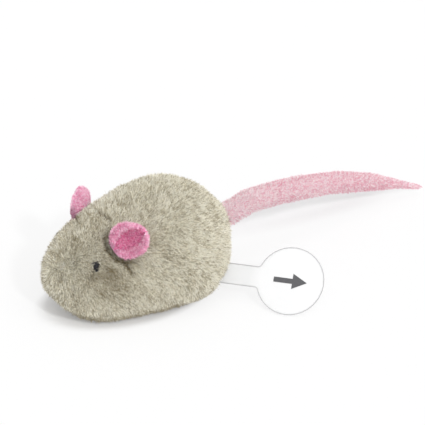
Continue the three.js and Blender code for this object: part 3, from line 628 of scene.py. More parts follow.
def color_property(name, description, default):
    """A colour that the panel shows as a swatch."""
    return bpy.props.FloatVectorProperty(name=name, description=description, default=default, subtype="COLOR",
                                         size=3, min=0, max=1)


def length_property(name, description, millimetres):
    """A length of the pile, given in mm and kept in metres."""
    return bpy.props.FloatProperty(name=name, description=description, default=millimetres * MM,
                                   min=0.05 * MM, max=5 * MM, unit="LENGTH")


def count_property(name, description, default):
    """A whole number of needles."""
    return bpy.props.IntProperty(name=name, description=description, default=default, min=1)


def level_property(name, description, default):
    """A strength or a length of the stage, from 0 up."""
    return bpy.props.FloatProperty(name=name, description=description, default=default, min=0)


class MousePlush(bpy.types.PropertyGroup):
    """The plush of the body."""

    fur: color_property("Fur", "Middle colour of the body's pile", (0.97, 0.925, 0.745))
    fur_dark: color_property("Dark needles", "Colour of the pile's darkest needles", (0.2, 0.145, 0.065))
    fur_light: color_property("Light needles", "Colour of the pile's lightest needles", (1.0, 0.985, 0.9))
    pile_length: length_property("Pile length", "Length of the body's pile", 2.5)
    pile_width: length_property("Needle width", "Width of a needle at its root", 0.56)
    pile_lean: bpy.props.FloatProperty(name="Lean", description="How far the pile leans from upright",
                                       default=math.radians(44), subtype="ANGLE")
    tuft: length_property("Tuft", "Width of a tuft of pile", 0.5)
    side_count: count_property("Needles of a side", "Needles on one side panel", 38000)
    belly_count: count_property("Needles of the belly", "Needles on the belly panel", 24000)


class MousePinks(bpy.types.PropertyGroup):
    """The pink plush of the ears and the tail."""

    ear: color_property("Ear", "Middle colour of the ears' outer pile", (1.0, 0.54, 0.74))
    lining: color_property("Ear lining", "Middle colour of the ears' inner pile", (1.0, 0.33, 0.62))
    tail: color_property("Tail", "Middle colour of the tail's pile", (1.0, 0.78, 0.84))
    ear_length: length_property("Ear pile", "Length of the ears' pile", 1.35)
    lining_length: length_property("Lining pile", "Length of the pile in the ears' hollows", 1.05)
    tail_length: length_property("Tail pile", "Length of the tail's pile", 1.65)


class MouseSmallParts(bpy.types.PropertyGroup):
    """Thread, film and the module's parts."""

    thread: color_property("Thread", "Colour of the eye's stitches", (0.012, 0.012, 0.014))
    film: color_property("Film", "Colour of the pull tab", (0.93, 0.935, 0.94))
    print_ink: color_property("Ink", "Colour of the arrow on the tab", (0.07, 0.07, 0.075))
    housing: color_property("Housing", "Colour of the module's housing", (0.80, 0.79, 0.74))


class MouseStage(bpy.types.PropertyGroup):
    """Floor, light and camera."""

    floor: color_property("Floor", "Colour of the floor", (0.97, 0.97, 0.975))
    floor_lift: level_property("Floor lift", "How far the floor's shadows are raised to white", 0.78)
    key_strength: level_property("Key", "Strength of the front lamp", 1.12)
    fill_strength: level_property("Fill", "Strength of the wide lamp", 0.9)
    sky_strength: level_property("Sky", "Strength of the even light", 0.59)
    lens: level_property("Lens", "Length of the camera's lens, in mm", 1500.0)


def settings(name):
    """The scene's values of one group of settings."""
    return getattr(bpy.context.scene, name)


# The plush body

def seam_angles(share):
    """Half the angle, measured from straight down, over which each section belongs to the belly panel."""
    turn = np.linspace(0, math.pi / 2 + 0.6, 400)
    over = seam_plane(body_point(share[:, None], -math.pi / 2 + turn[None, :]))
    found = (over > 0).argmax(1)
    low, high = np.maximum(found - 1, 0), found
    rows = np.arange(len(share))
    gap = over[rows, high] - over[rows, low]
    part = np.where(gap > 1e-6, -over[rows, low] / np.maximum(gap, 1e-6), 0)
    return np.where(over[:, 0] > 0, 0.0, turn[low] + np.clip(part, 0, 1) * (turn[high] - turn[low]))


def blown_up(points, faces, held):
    """Where the points of a closed form come to lie as cloth under inner pressure, without gravity.

    The held points stay. The cloth is cut a little larger than the form, so that it puckers beside them.
    """
    scene = bpy.context.scene
    mesh = bpy.data.meshes.new("stuffed_form")
    mesh.from_pydata((points * MM * FORM_SCALE).tolist(), [], faces)
    with edited(mesh) as work:
        bmesh.ops.recalc_face_normals(work, faces=work.faces)
    form = linked("stuffed_form", mesh)
    group = form.vertex_groups.new(name="seams")
    group.add(np.flatnonzero(held).tolist(), 1.0, "REPLACE")
    cloth = form.modifiers.new("Stuffed cloth", "CLOTH")
    cloth.settings.quality = 6
    cloth.settings.vertex_group_mass = "seams"
    cloth.settings.use_pressure = True
    cloth.settings.uniform_pressure_force = FORM_PRESSURE
    cloth.settings.shrink_min = -FORM_GROWTH
    cloth.settings.effector_weights.gravity = 0.0
    cloth.collision_settings.use_collision = False
    cloth.point_cache.frame_end = FORM_FRAMES
    for number in range(1, FORM_FRAMES + 1):
        scene.frame_set(number)
    settled = form.evaluated_get(bpy.context.evaluated_depsgraph_get())
    places = np.empty(len(points) * 3, np.float32)
    settled.data.vertices.foreach_get("co", places)
    bpy.data.objects.remove(form)
    scene.frame_set(1)
    return places.reshape(-1, 3) / (MM * FORM_SCALE)


def stuffed_form():
    """How far the stuffing pushes the plush out of its even form, in mm, over a grid of shares and angles.

    A closed form, a little smaller than the body, is blown up as cloth that is held along the seams. A share
    of what it moves outwards, less the middle value, is the push, which is capped and then drawn back.
    """
    rows, columns = FORM_ROWS, FORM_COLUMNS
    angle = np.linspace(-math.pi, math.pi, columns, endpoint=False)
    points = body_point(crowded(rows + 2)[1:-1, None], angle[None, :], FORM_INSET)
    tips = body_point(np.array((0.0, 1.0)), np.zeros(2), FORM_INSET)
    start = np.concatenate((points.reshape(-1, 3), tips))
    faces = grid_faces(rows, columns, True).tolist()
    for tip, ring in ((rows * columns, 0), (rows * columns + 1, (rows - 1) * columns)):
        faces += [(tip, ring + k, ring + (k + 1) % columns) for k in range(columns)]
    seam = seam_plane(start)
    held = (np.abs(seam) < SEAM_HELD) | ((np.abs(start[:, 1]) < BACK_HELD) & (seam > 0))
    held[:2 * columns] = held[-2 * columns - 2:] = True
    moved = blown_up(start, faces, held)[:rows * columns].reshape(points.shape) - points
    push = np.sum(moved * directions(points, wrap=True), -1)
    return np.round(np.clip(PUSH_SHARE * (push - np.median(push)), -PUSH_CAP, PUSH_CAP) - PUSH_BACK, 3)


def pushed(push, share, angle):
    """The push at shares and angles, between its grid's values; it fades out where something is sewn on."""
    rows, columns = push.shape
    row = np.clip(np.arccos(np.clip(1 - 2 * share, -1, 1)) / math.pi * (rows + 1) - 1, 0, rows - 1.001)
    column = (angle + math.pi) / (2 * math.pi) * columns
    up, left = np.floor(row).astype(int), np.floor(column).astype(int)
    v, u = row - up, column - left
    left, right = left % columns, (left + 1) % columns
    above = push[up, left] * (1 - u) + push[up, right] * u
    below = push[up + 1, left] * (1 - u) + push[up + 1, right] * u
    stitched = smooth(np.minimum(share, 1 - share) / 0.02)
    for station, turn, reach in ((EYE_STATION, EYE_ANGLE, EYE_HELD), (EAR_STATION, EAR_ANGLE, EAR_HELD)):
        for side in (turn, math.pi - turn):
            seat = body_point(np.array(station), np.array(side))
            away = np.linalg.norm(body_point(share, angle) - seat, axis=-1)
            stitched = stitched * (1 - bell(away, reach))
    return (above * (1 - v) + below * v) * stitched


def panel_angles(panel):
    """A panel's rows, as shares of the body's length, and its angles from one of its seams to the other."""
    if panel == "belly":
        fine = np.linspace(0, 1, 4001)
        inside = fine[seam_angles(fine) > 0]
        share = inside[0] + (inside[-1] - inside[0]) * crowded(PANEL_ROWS)
        return share, -math.pi / 2 + seam_angles(share)[:, None] * np.linspace(-1, 1, PANEL_COLUMNS)
    share = crowded(PANEL_ROWS, margin=0.006)
    half = seam_angles(share)[:, None]
    start = half - math.pi / 2 if panel == "left" else math.pi / 2
    return share, start + (math.pi - half) * np.linspace(0, 1, PANEL_COLUMNS)


def panel_grid(panel, push):
    """A panel's grid of points, with their outward directions and how far the creases took them in.

    Each point lies on the body's form, the backing's depth under the pile's tips, and is moved outwards by
    the relief and by the push of the stuffing, which the floor holds back. The snout is drawn in.
    """
    share, angle = panel_angles(panel)
    share = np.broadcast_to(share[:, None], angle.shape)
    points = body_point(share, angle, BACKING_INSET)
    fold = folded(body_point(share, angle))
    outward = directions(points, middle=BODY_MIDDLE)
    poles = np.linalg.norm(np.roll(points, 1, 1) - points, axis=-1) < 1e-3
    outward = np.where(poles[..., None], unit(points - BODY_MIDDLE), outward)
    out = pushed(push, share, angle) * smooth((points[..., 2] - 1.5) / 4) + relief(points)
    out -= fold + SNOUT_BACK * bell(share, SNOUT_SHARE)
    return points + outward * out[..., None], outward, fold


def pile_lie(roots, outward, along):
    """The way the pile lies: towards the tail and down the sides, turned a little from place to place."""
    down = np.array((0.0, 0.0, -1.0)) - outward * (-outward[:, 2:])
    sides = np.clip(np.linalg.norm(down, axis=-1, keepdims=True), 0, 1)
    turn = 0.75 * patchy(roots, 13.0, 31) + 0.35 * patchy(roots, 5.0, 32)
    lie = unit(0.75 * along + 0.85 * sides * unit(down))
    across = np.cross(outward, lie)
    return lie * np.cos(turn)[:, None] + across * np.sin(turn)[:, None]


def parted(points):
    """How much painted shade a parting of the pile takes: noise drawn out along the pile's lie, darkest at
    its crests.
    """
    across = 0.75 * points[:, 0] + 0.66 * points[:, 2]
    along = 0.66 * points[:, 0] - 0.75 * points[:, 2]
    strand = patchy(np.stack((across, 0.25 * along, 0.35 * points[:, 1]), -1), 1.5, 71)
    return 0.4 * strand + 0.7 * smooth((strand - 0.25) / 0.35)


def painted_head_shade(points):
    """How much painted shade the pile takes on the head, darker and browner: most on the cheeks, below the
    eyes and ears, and less on the brow.
    """
    one_side = np.stack((points[:, 0], -np.abs(points[:, 1]), points[:, 2]), -1)
    return sum(share * bell(np.linalg.norm((one_side - middle) / reach, axis=-1), 1)
               for middle, reach, share in HEAD_SHADE_SPOTS)


def fur_tone(roots, away):
    """How much lighter the fur is: uneven, with painted shade darkening it in partings, on the cheeks and
    underneath.
    """
    under = smooth((-away[:, 2] - 0.6) / 0.25)
    return 0.25 * patchy(roots, 6.0, 61) + 0.22 - 0.8 * painted_head_shade(roots) - 0.5 * parted(roots) - 1.6 * under


def inside_ears(roots, tips):
    """Which needles would stand inside an ear, where the plush is sewn over: part of them is in its pad."""
    inside = np.zeros(len(roots), bool)
    for side in ("left", "right"):
        base, facing, sideways, rise = ear_frame(side)
        for share in (0, 0.25, 0.5, 0.75, 1):
            off = roots + share * (tips - roots) - base
            across = (off @ sideways - EAR_SHIFTS[side]) / EAR_NARROW
            up, height = off @ rise + EAR_SINK, off @ facing + EAR_THICKNESS / 2
            within = np.hypot(across, up - EAR_RADIUS) < EAR_RADIUS
            inside |= within & (height > ear_back(across, up) + 0.2) & (height < ear_front(across, up) + 0.5)
    return inside


class MOUSE_OT_body_plush(bpy.types.Operator):
    """Makes the three panels of the plush body with their pile."""

    bl_idname = "mouse.body_plush"
    bl_label = "Body plush"

    def execute(self, context):
        look = settings("mouse_plush")
        length, lean = look.pile_length / MM, look.pile_lean
        # The fold colour and the darker roots are painted shade
        fur = pile_finish("Body pile", tuple(look.fur_dark), tuple(look.fur), tuple(look.fur_light),
                          fold=(0.21, 0.15, 0.048), roots=0.6, grain=1400, contrast=6.0, sheen=0.6)
        backing = backing_finish("Body backing", times(look.fur, 0.4), times(look.fur, 0.6))
        counts = {"left": look.side_count, "right": look.side_count, "belly": look.belly_count}
        push = stuffed_form()
        for order, (panel, count) in enumerate(counts.items()):
            points, outward, fold = panel_grid(panel, push)
            nodes = "belly_panel" if panel == "belly" else f"{panel}_side_panel"
            cloth = solidified(skin(f"{panel}_panel_cloth", points), CLOTH_THICKNESS)
            dressed(cloth, "mouse_body", "body_plush", backing, nodes)
            draw = np.random.default_rng(SEED + order)
            roots, away, along, read = scattered(points, outward, count, draw)
            lie = pile_lie(roots, away, along)
            free = ~inside_ears(roots, roots + length * (away * math.cos(lean) + lie * math.sin(lean)))
            roots, away, lie, depth = roots[free], away[free], lie[free], read(fold)[free]
            # Painted shade: in the creases, by their depth, and on the head
            shaded = np.clip(smooth(depth / SHADED_DEPTH) + 0.68 * painted_head_shade(roots), 0, 1)
            needles = pile(f"{panel}_panel_pile", roots, away, lie, length, draw,
                           width=look.pile_width / MM, lean=lean, tuft=look.tuft / MM, seed=50,
                           shaded=shaded, tone=fur_tone(roots, away))
            dressed(needles, "mouse_body", "body_plush", fur)
        return {"FINISHED"}


# The ears

def ear_frame(side):
    """Origin and axes of an ear: where it faces, across it, and up from its base."""
    base = body_point(np.array(EAR_STATION), np.array(EAR_ANGLE))
    facing = unit(np.array(EAR_FACING))
    across = unit(np.cross(np.array(EAR_RISES[side]), facing))
    rise = unit(np.cross(facing, across))
    flip = np.array((1.0, -1.0, 1.0)) if side == "right" else np.ones(3)
    return base * flip, facing * flip, across * flip, rise * flip


def ear_back(across, up):
    """The ear's back: dished by the square of the way from its middle, folded up along its middle line."""
    radial = np.hypot(across, up - EAR_RADIUS) / EAR_RADIUS
    folding = np.abs(across) / EAR_RADIUS * np.maximum(0, 1 - up / EAR_RADIUS)
    return EAR_DISH * radial ** 2 + EAR_FOLD * folding


def hollow_half(share):
    """Half the hollow's width by the share of its length: a leaf with a narrow foot and a round upper end."""
    share = np.clip(share, 0, 1)
    return HOLLOW_HALF * np.sin(math.pi * share ** 1.05) ** (0.72 - 0.27 * share)


def past_hollow(across, up):
    """How far, in mm, a place lies outside the leaf-shaped hollow, which is less than 0 inside it."""
    half = hollow_half((up - HOLLOW_LOW) / (HOLLOW_HIGH - HOLLOW_LOW))
    beyond = np.maximum(HOLLOW_LOW - up, 0) + np.maximum(up - HOLLOW_HIGH, 0)
    return np.hypot(across + HOLLOW_LEAN * (up - EAR_RADIUS), beyond) - half


def ear_front(across, up):
    """The front: a soft rolled lip round the hollow, falling off to the rim."""
    past = past_hollow(across, up)
    lip = EAR_LIP * bell(past - LIP_PLACE, LIP_WIDTH)
    return ear_back(across, up) + EAR_THICKNESS - 0.3 + lip - HOLLOW_DEPTH * smooth(-past / LIP_PLACE + 0.3)


def ear_placed(side, height, across, up):
    """Puts places of an ear (how far forward, how far across, how far up) into the toy's own frame."""
    base, facing, sideways, rise = ear_frame(side)
    forward = (height - EAR_THICKNESS / 2)[..., None] * facing
    aside = (EAR_NARROW * across + EAR_SHIFTS[side])[..., None] * sideways
    return base + forward + aside + (up - EAR_SINK)[..., None] * rise


def rolled(back, front, row, sharpness):
    """Heights of a closed pad whose rows run from the back's middle over the rounded rim to the front's."""
    roll = np.sqrt(np.maximum(0, 1 - np.sin(math.pi * row) ** sharpness))
    return (back + front) / 2 + np.where(row <= 0.5, -1, 1) * (front - back) / 2 * roll


def pad_grid(rows, columns):
    """A pad's rows from 0 to 1 and its turns round the middle, as a column and a row of numbers."""
    return np.linspace(0, 1, rows)[:, None], np.linspace(0, 2 * math.pi, columns, endpoint=False)[None, :]


def ear_cup(side):
    """The ear's round folded cup, with how far each point is past the hollow and how near to the rim."""
    row, turn = pad_grid(*CUP_GRID)
    wave = 1 + 0.02 * np.sin(3 * turn + 0.7) + 0.015 * np.sin(5 * turn + 2.1)
    radial = (EAR_RADIUS - CUP_INSET) * np.sin(math.pi * row) * wave
    across, up = radial * np.sin(turn), EAR_RADIUS + radial * np.cos(turn)
    height = rolled(ear_back(across, up), ear_front(across, up), row, 5)
    past = np.where(row > 0.5, past_hollow(across, up), EAR_RADIUS)
    return ear_placed(side, height, across, up), past, radial / EAR_RADIUS


def ear_lining(side):
    """The leaf-shaped lining that lies in the hollow, with 1 where it shows and 0 behind."""
    row, turn = pad_grid(*LINING_GRID)
    radial = np.sin(math.pi * row)
    share = (1 + radial * np.cos(turn)) / 2
    up = HOLLOW_LOW + (HOLLOW_HIGH - HOLLOW_LOW) * share
    across = hollow_half(share) * radial * np.sin(turn) - HOLLOW_LEAN * (up - EAR_RADIUS)
    front = ear_front(across, up) + LINING_LIFT
    height = rolled(front - LINING_THICKNESS, front, row, 6)
    return ear_placed(side, height, across, up), np.where(row > 0.5, 1.0, 0 * up)


def ear_shade(away, past, rim, above, facing):
    """How much painted shade an ear's pile takes: behind its lip where it is turned down, at its lower edge
    and its base.
    """
    turned, faced = away @ unit(EAR_SHADE_SIDE), away @ facing
    behind = 0.8 * smooth((turned - 0.2) / 0.5) * smooth((0.6 - faced) / 0.4) * smooth((past - 1.2) / 0.8)
    edge = smooth((rim - 0.9) / 0.04) * smooth((turned - 0.15) / 0.3) * smooth((0.5 - faced) / 0.3)
    return np.maximum(np.maximum(behind, edge), 0.6 * smooth((3.0 - above) / 2.2))


class MOUSE_OT_ears(bpy.types.Operator):
    """Makes the two folded ears with their linings and pile."""

    bl_idname = "mouse.ears"
    bl_label = "Ears"

    def execute(self, context):
        look = settings("mouse_pinks")
        ear, lining = tuple(look.ear), tuple(look.lining)
        # The fold colours and the darker roots are painted shade
        outer = pile_finish("Ear pile", (0.72, 0.16, 0.36), ear, paled(ear, 0.7),
                            fold=(0.18, 0.045, 0.09), roots=0.9)
        inner = pile_finish("Ear lining pile", (0.66, 0.04, 0.22), lining, paled(lining, 0.74),
                            fold=(0.2, 0.01, 0.06), roots=0.95)
        cloth = backing_finish("Ear cloth", times(ear, 0.5), times(ear, 0.75))
        lined = backing_finish("Ear lining cloth", times(lining, 0.4), times(lining, 0.7))
        for order, side in enumerate(("left", "right")):
            draw = np.random.default_rng(SEED + 10 + order)
            self.cup(side, draw, cloth, outer, look.ear_length / MM)
            self.lining(side, draw, lined, inner, look.lining_length / MM)
        return {"FINISHED"}

    def cup(self, side, draw, cloth, finish, length):
        """An ear's outer layer with its pile, shorter near the base and left out under the lining."""
        base, facing, _, rise = ear_frame(side)
        points, past, rim = ear_cup(side)
        piece = skin(f"{side}_ear_cup", points, wrap=True)
        dressed(piece, f"{side}_ear", "ear_plush", cloth, f"{side}_ear_back")
        outward = directions(points, wrap=True)
        roots, away, _, read = scattered(points, outward, CUP_NEEDLES, draw, wrap=True)
        past, rim, above = read(past), read(rim), (roots - base) @ rise + EAR_SINK
        length = length * (0.4 + 0.6 * smooth((above - 1.0) / 4.5))[:, None]
        lie = np.cross(away, np.cross(rise, away))
        shaded = ear_shade(away, past, rim, above, facing)
        tone = 0.16 * smooth((rim - 0.6) / 0.35) - 0.12 * smooth(1 - past / 2)
        keep = past > -0.3
        needles = pile(f"{side}_ear_pile", roots[keep], away[keep], lie[keep], length[keep], draw,
                       shaded=shaded[keep], tone=tone[keep], **CUP_PILE)
        dressed(needles, f"{side}_ear", "ear_plush", finish)

    def lining(self, side, draw, cloth, finish, length):
        """The lining in an ear's hollow, with pile on the side that shows."""
        rise = ear_frame(side)[3]
        points, shown = ear_lining(side)
        piece = skin(f"{side}_ear_lining_cloth", points, wrap=True)
        dressed(piece, f"{side}_ear", "ear_lining", cloth, f"{side}_ear_lining")
        outward = directions(points, wrap=True)
        roots, away, _, read = scattered(points, outward, LINING_NEEDLES, draw, wrap=True)
        keep = read(shown) > 0.5
        lie = np.cross(away, np.cross(rise, away))
        needles = pile(f"{side}_ear_lining_pile", roots[keep], away[keep], lie[keep], length, draw,
                       **LINING_PILE)
        dressed(needles, f"{side}_ear", "ear_lining", finish)


# The eyes

def eye_frame():
    """The middle of the left eye, just under the plush, and its axes: outward, forward and upward."""
    step = 1e-3
    share, angle = np.array(EYE_STATION), np.array(EYE_ANGLE)
    along = body_point(share + step, angle) - body_point(share - step, angle)
    around = body_point(share, angle + step) - body_point(share, angle - step)
    outward = unit(np.cross(along, around))
    forward = unit(np.array((-1.0, 0, 0)) - outward * -outward[0])
    return body_point(share, angle, EYE_INSET), outward, forward, np.cross(outward, forward)


class MOUSE_OT_eyes(bpy.types.Operator):
    """Makes the eyes: small bundles of black stitches."""

    bl_idname = "mouse.eyes"
    bl_label = "Eyes"

    def execute(self, context):
        finish = Finish("Eye thread", Base_Color=tuple(settings("mouse_small").thread), Roughness=0.5,
                        Specular_IOR_Level=0.35)
        finish.bump(finish.noise(5200, 2, 0.6), 0.4, 0.08)
        for side, flip in (("left", 1), ("right", -1)):
            draw = np.random.default_rng(SEED + 30)
            stitches = [self.stitch(number, draw) for number in range(SIDE_STITCHES + CROSS_STITCHES)]
            points = np.concatenate([stitch[0] for stitch in stitches]) * np.array((1, flip, 1))
            offset = np.cumsum([0] + [len(stitch[0]) for stitch in stitches[:-1]])
            faces = np.concatenate([stitch[1] + start for stitch, start in zip(stitches, offset)])
            eye = welded(new_mesh(f"{side}_eye_stitches", points, faces), 0.004)
            dressed(eye, "mouse_body", "black_thread", finish.material, f"{side}_eye")
        return {"FINISHED"}

    def stitch(self, number, draw):
        """One thread: a round section carried along an arch that dips into the plush at both ends."""
        seat, outward, forward, upward = eye_frame()
        crossing = number >= SIDE_STITCHES
        lean = EYE_LEAN + draw.uniform(-0.5, 0.5) + (CROSS_LEAN if crossing else 0)
        across = forward * math.cos(lean) + upward * math.sin(lean)
        up = upward * math.cos(lean) - forward * math.sin(lean)
        row = (number / (SIDE_STITCHES - 1) - 0.5) * EYE_SPREAD
        place = draw.uniform(-1.2, 1.2) if crossing else row
        half = CROSS_HALF if crossing else (1.05 - 0.2 * place) * draw.uniform(0.8, 1.2)
        sway, lift = 0.12 * draw.normal(), 0.1 * draw.normal() - STITCH_SUNK
        run = np.linspace(-1, 1, THREAD_RINGS)
        height = (CROSS_RISE if crossing else SIDE_RISE) * (1 - run ** 4) + lift
        path = (seat + across * (half * run)[:, None] + up * (place + sway * run)[:, None]
                + outward * height[:, None])
        heading = unit(np.gradient(path, axis=0))
        side = unit(np.cross(heading, outward))
        turn = np.linspace(0, 2 * math.pi, THREAD_SIDES, endpoint=False)[None, :, None]
        narrow = np.sqrt(np.clip(1 - np.abs(run) ** 10, 0, 1))[:, None, None] * THREAD_RADIUS
        ring = np.cos(turn) * side[:, None] + np.sin(turn) * np.cross(heading, side)[:, None]
        points = path[:, None] + narrow * ring
        return points.reshape(-1, 3), grid_faces(*points.shape[:2], True)


# The tail

def tail_line(shares):
    """The tail's middle line: a centripetal curve through its given places, at even lengths along it."""
    places = np.array(TAIL_SHARES, float) * TAIL_REACH
    ends = np.concatenate((2 * places[:1] - places[1:2], places, 2 * places[-1:] - places[-2:-1]))
    fine = []
    for k in range(len(places) - 1):
        quad = ends[k:k + 4]
        knots = np.concatenate(([0], np.cumsum(np.linalg.norm(np.diff(quad, axis=0), axis=-1) ** 0.5)))
        t = np.linspace(knots[1], knots[2], 60, endpoint=k == len(places) - 2)[:, None]

        def blend(p, q, a, b):
            return ((b - t) * p + (t - a) * q) / (b - a)

        firsts = [blend(quad[i], quad[i + 1], knots[i], knots[i + 1]) for i in range(3)]
        seconds = [blend(firsts[i], firsts[i + 1], knots[i], knots[i + 2]) for i in range(2)]
        fine.append(blend(seconds[0], seconds[1], knots[1], knots[2]))
    line = np.concatenate(fine)
    length = np.concatenate(([0], np.cumsum(np.linalg.norm(np.diff(line, axis=0), axis=-1))))

    def spots(at):
        return np.stack([np.interp(np.clip(at, 0, 1) * length[-1], length, axis) for axis in line.T], -1)

    step = 1e-3
    return spots(shares), unit(spots(shares + step) - spots(shares - step))


def tail_grid():
    """The tail's tube: rings across its middle line, rounded at both ends, tapering by the third power.

    The last quarter is drawn finer still. With the points come their outward directions and how fine the tube
    is there.
    """
    cap, tip = TAIL_WIDTH / 2 / TAIL_REACH, TAIL_TIP / TAIL_REACH
    run = crowded(TAIL_RINGS, margin=0.004 * math.pi) * (1 + cap) - cap
    on, behind = np.maximum(0, run), np.minimum(0, run) / cap
    middle, along = tail_line(on)
    side = unit(np.stack((-along[:, 1], along[:, 0], np.zeros(len(run))), -1))
    up = np.cross(along, side)
    least = TAIL_TIP / TAIL_WIDTH
    taper = least + (1 - least) * (1 - on ** TAPER_POWER)
    blunt = np.sqrt(np.maximum(0, 1 - np.maximum(0, (on - 1 + tip) / tip) ** 2))
    fine = 1 - FINER * smooth((on - FINE_FROM) / (1 - FINE_FROM))
    grow = fine * taper * blunt * np.sqrt(np.maximum(0, 1 - behind ** 12))
    turn = np.linspace(0, 2 * math.pi, TAIL_SIDES, endpoint=False)[None, :]
    wide = np.maximum(grow * (TAIL_WIDTH / 2 - TAIL_INSET), 0.02)[:, None]
    deep = np.maximum(grow * (TAIL_DEPTH / 2 - TAIL_INSET), 0.02)[:, None]
    centre = (np.array(TAIL_ROOT) + middle + along * (behind * TAIL_TUCK)[:, None])[:, None]
    points = (centre + side[:, None] * (np.cos(turn) * wide)[..., None]
              + up[:, None] * (np.sin(turn) * deep)[..., None])
    outward = directions(points, wrap=True, middle=centre)
    soft = 0.22 * patchy(points, 9.0, 61) + 0.1 * patchy(points, 4.0, 62)
    seam = 0.35 * bell(turn - 1.5 * math.pi, 0.16)
    relieved = points + outward * (soft - seam)[..., None] * np.minimum(1, grow * 2)[:, None, None]
    return relieved, outward, np.broadcast_to(fine[:, None], soft.shape)


class MOUSE_OT_tail(bpy.types.Operator):
    """Makes the plush tail and its pile."""

    bl_idname = "mouse.tail"
    bl_label = "Tail"

    def execute(self, context):
        look = settings("mouse_pinks")
        tail = tuple(look.tail)
        points, outward, fine = tail_grid()
        cloth = skin("tail_cloth", points, wrap=True)
        backing = backing_finish("Tail cloth", times(tail, 0.6), times(tail, 0.8))
        dressed(cloth, None, "tail_plush", backing, "tail")
        draw = np.random.default_rng(SEED + 40)
        roots, away, along, read = scattered(points, outward, TAIL_NEEDLES, draw, wrap=True)
        length = read(fine)[:, None] * look.tail_length / MM
        near_body = smooth((LIGHT_TO - roots[:, 0]) / LIGHT_FADE)
        near_tip, under = smooth((roots[:, 0] - DARK_FROM) / DARK_FADE), smooth(-away[:, 2] / 0.7)
        # Lighter near the body and darker towards the tip, with painted shade on the underside there
        tone = 0.45 * near_body - (0.2 + 0.4 * under) * near_tip
        needles = pile("tail_pile", roots, away, along, length, draw, tone=tone, **TAIL_PILE)
        finish = pile_finish("Tail pile", (0.76, 0.22, 0.36), tail, paled(tail, 0.85),
                             fold=(0.2, 0.07, 0.1), roots=0.8, contrast=10.0, sheen=0.4)
        dressed(needles, None, "tail_plush", finish)
        for piece in (cloth, needles):
            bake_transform(piece)
        return {"FINISHED"}


# The film tab

def module_axes():
    """The module's axes: along the strip, across it, and square to the film."""
    heading, tilt = -TAB_HEADING, TAB_TILT
    turn = ((math.cos(heading), -math.sin(heading), 0), (math.sin(heading), math.cos(heading), 0), (0, 0, 1))
    lean = ((1, 0, 0), (0, math.cos(tilt), -math.sin(tilt)), (0, math.sin(tilt), math.cos(tilt)))
    return np.array(turn) @ np.array(lean)


def in_module(points):
    """Places of the module's frame put into the toy's own frame."""
    return np.array(MODULE_SEAT) + points @ module_axes().T


def translucent(name, color, clear):
    """Thin matt film that lets a share of the light through, with painted shade greying the strip more than
    its head.
    """
    head = tuple(in_module(np.array((*TAB_HEAD, TAB_TOP))) * MM)
    finish = Finish(name, Roughness=0.45, Coat_Weight=0.2, Coat_Roughness=0.3, Alpha=1 - clear)
    along, across, up = finish.parts("ShaderNodeSeparateXYZ", finish.place(centre=head))
    away = finish.maths("SQRT", along * along + across * across + up * up)
    even = finish.mix(finish.noise(90, 3), times(color, 0.97), color)
    # Painted shade: the film greys away from its head
    grey = (away - PALE_TO * MM) / ((GREY_FROM - PALE_TO) * MM)
    finish.set(Base_Color=finish.mix(grey, even, times(color, 0.89)))
    finish.bump(finish.noise(3000, 2, 0.6), 0.06, 0.05)
    return finish.material


class MOUSE_OT_tab(bpy.types.Operator):
    """Makes the film tab, whose cut edge shows as a grey line of painted shade, and prints a plain arrow on
    it.
    """

    bl_idname = "mouse.tab"
    bl_label = "Film tab"

    def execute(self, context):
        look = settings("mouse_small")
        film = tuple(look.film)
        mesh = bpy.data.meshes.new("film_tab")
        with edited(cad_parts["pull_tab"].data, mesh) as work:
            bmesh.ops.remove_doubles(work, verts=work.verts, dist=0.01 * MM)
            bmesh.ops.dissolve_limit(work, angle_limit=0.02, verts=work.verts, edges=work.edges)
            sides = sorted(work.faces, key=lambda face: face.calc_area())[-2:]
            for face in work.faces:
                face.material_index = 0 if face in sides else 1
            rims = bmesh.ops.inset_region(work, faces=sides, thickness=TAB_EDGE * MM, use_even_offset=True)
            for face in rims["faces"]:
                face.material_index = 1
        tab = linked("film_tab", mesh)
        dressed(tab, "pull_tab", "frosted_film", translucent("Frosted film", film, 0.5), "pull_tab")
        # The edge's grey band on both faces is painted shade at the cut edge
        tab.data.materials.append(translucent("Painted film edge shade", times(film, 0.55), 0.15))
        self.arrow(tuple(look.print_ink))
        return {"FINISHED"}

    def arrow(self, color):
        """A thin closed layer of ink on the head: the arrow's outline, carried down to the film."""
        upper = ((-ARROW_HALF, SHAFT_HALF), (ARROW_NECK, SHAFT_HALF), (ARROW_NECK, POINT_HALF))
        lower = tuple((along, -across) for along, across in reversed(upper))
        outline = np.array((*upper, (ARROW_HALF, 0), *lower))
        count = len(outline)
        flat = np.concatenate((outline + TAB_HEAD, np.full((count, 1), TAB_TOP + PRINT_LIFT)), 1)
        points = in_module(np.concatenate((flat + np.array((0, 0, PRINT_THICKNESS)), flat))) * MM
        around = np.arange(count)
        after = (around + 1) % count
        ring = np.stack((around, after, after + count, around + count), -1)
        mesh = bpy.data.meshes.new("tab_arrow")
        mesh.from_pydata(points.tolist(), [], [list(around), list(around[::-1] + count), *ring.tolist()])
        ink = Finish("Arrow ink", Roughness=0.5)
        ink.set(Base_Color=ink.mix(ink.noise(1800, 3), color, times(color, 1.4)))
        dressed(welded(linked("tab_arrow", mesh), 0.001), "pull_tab", "frosted_film", ink.material)


# The sound module and the stuffing

def plastic(name, color, grain=900):
    """Moulded plastic: faint unevenness of colour and a fine satin grain."""
    finish = Finish(name, Roughness=0.5, Specular_IOR_Level=0.45)
    finish.set(Base_Color=finish.mix(finish.noise(120, 3), times(color, 0.94), color))
    finish.bump(finish.noise(grain, 2, 0.5), 0.15, 0.06)
    return finish.material


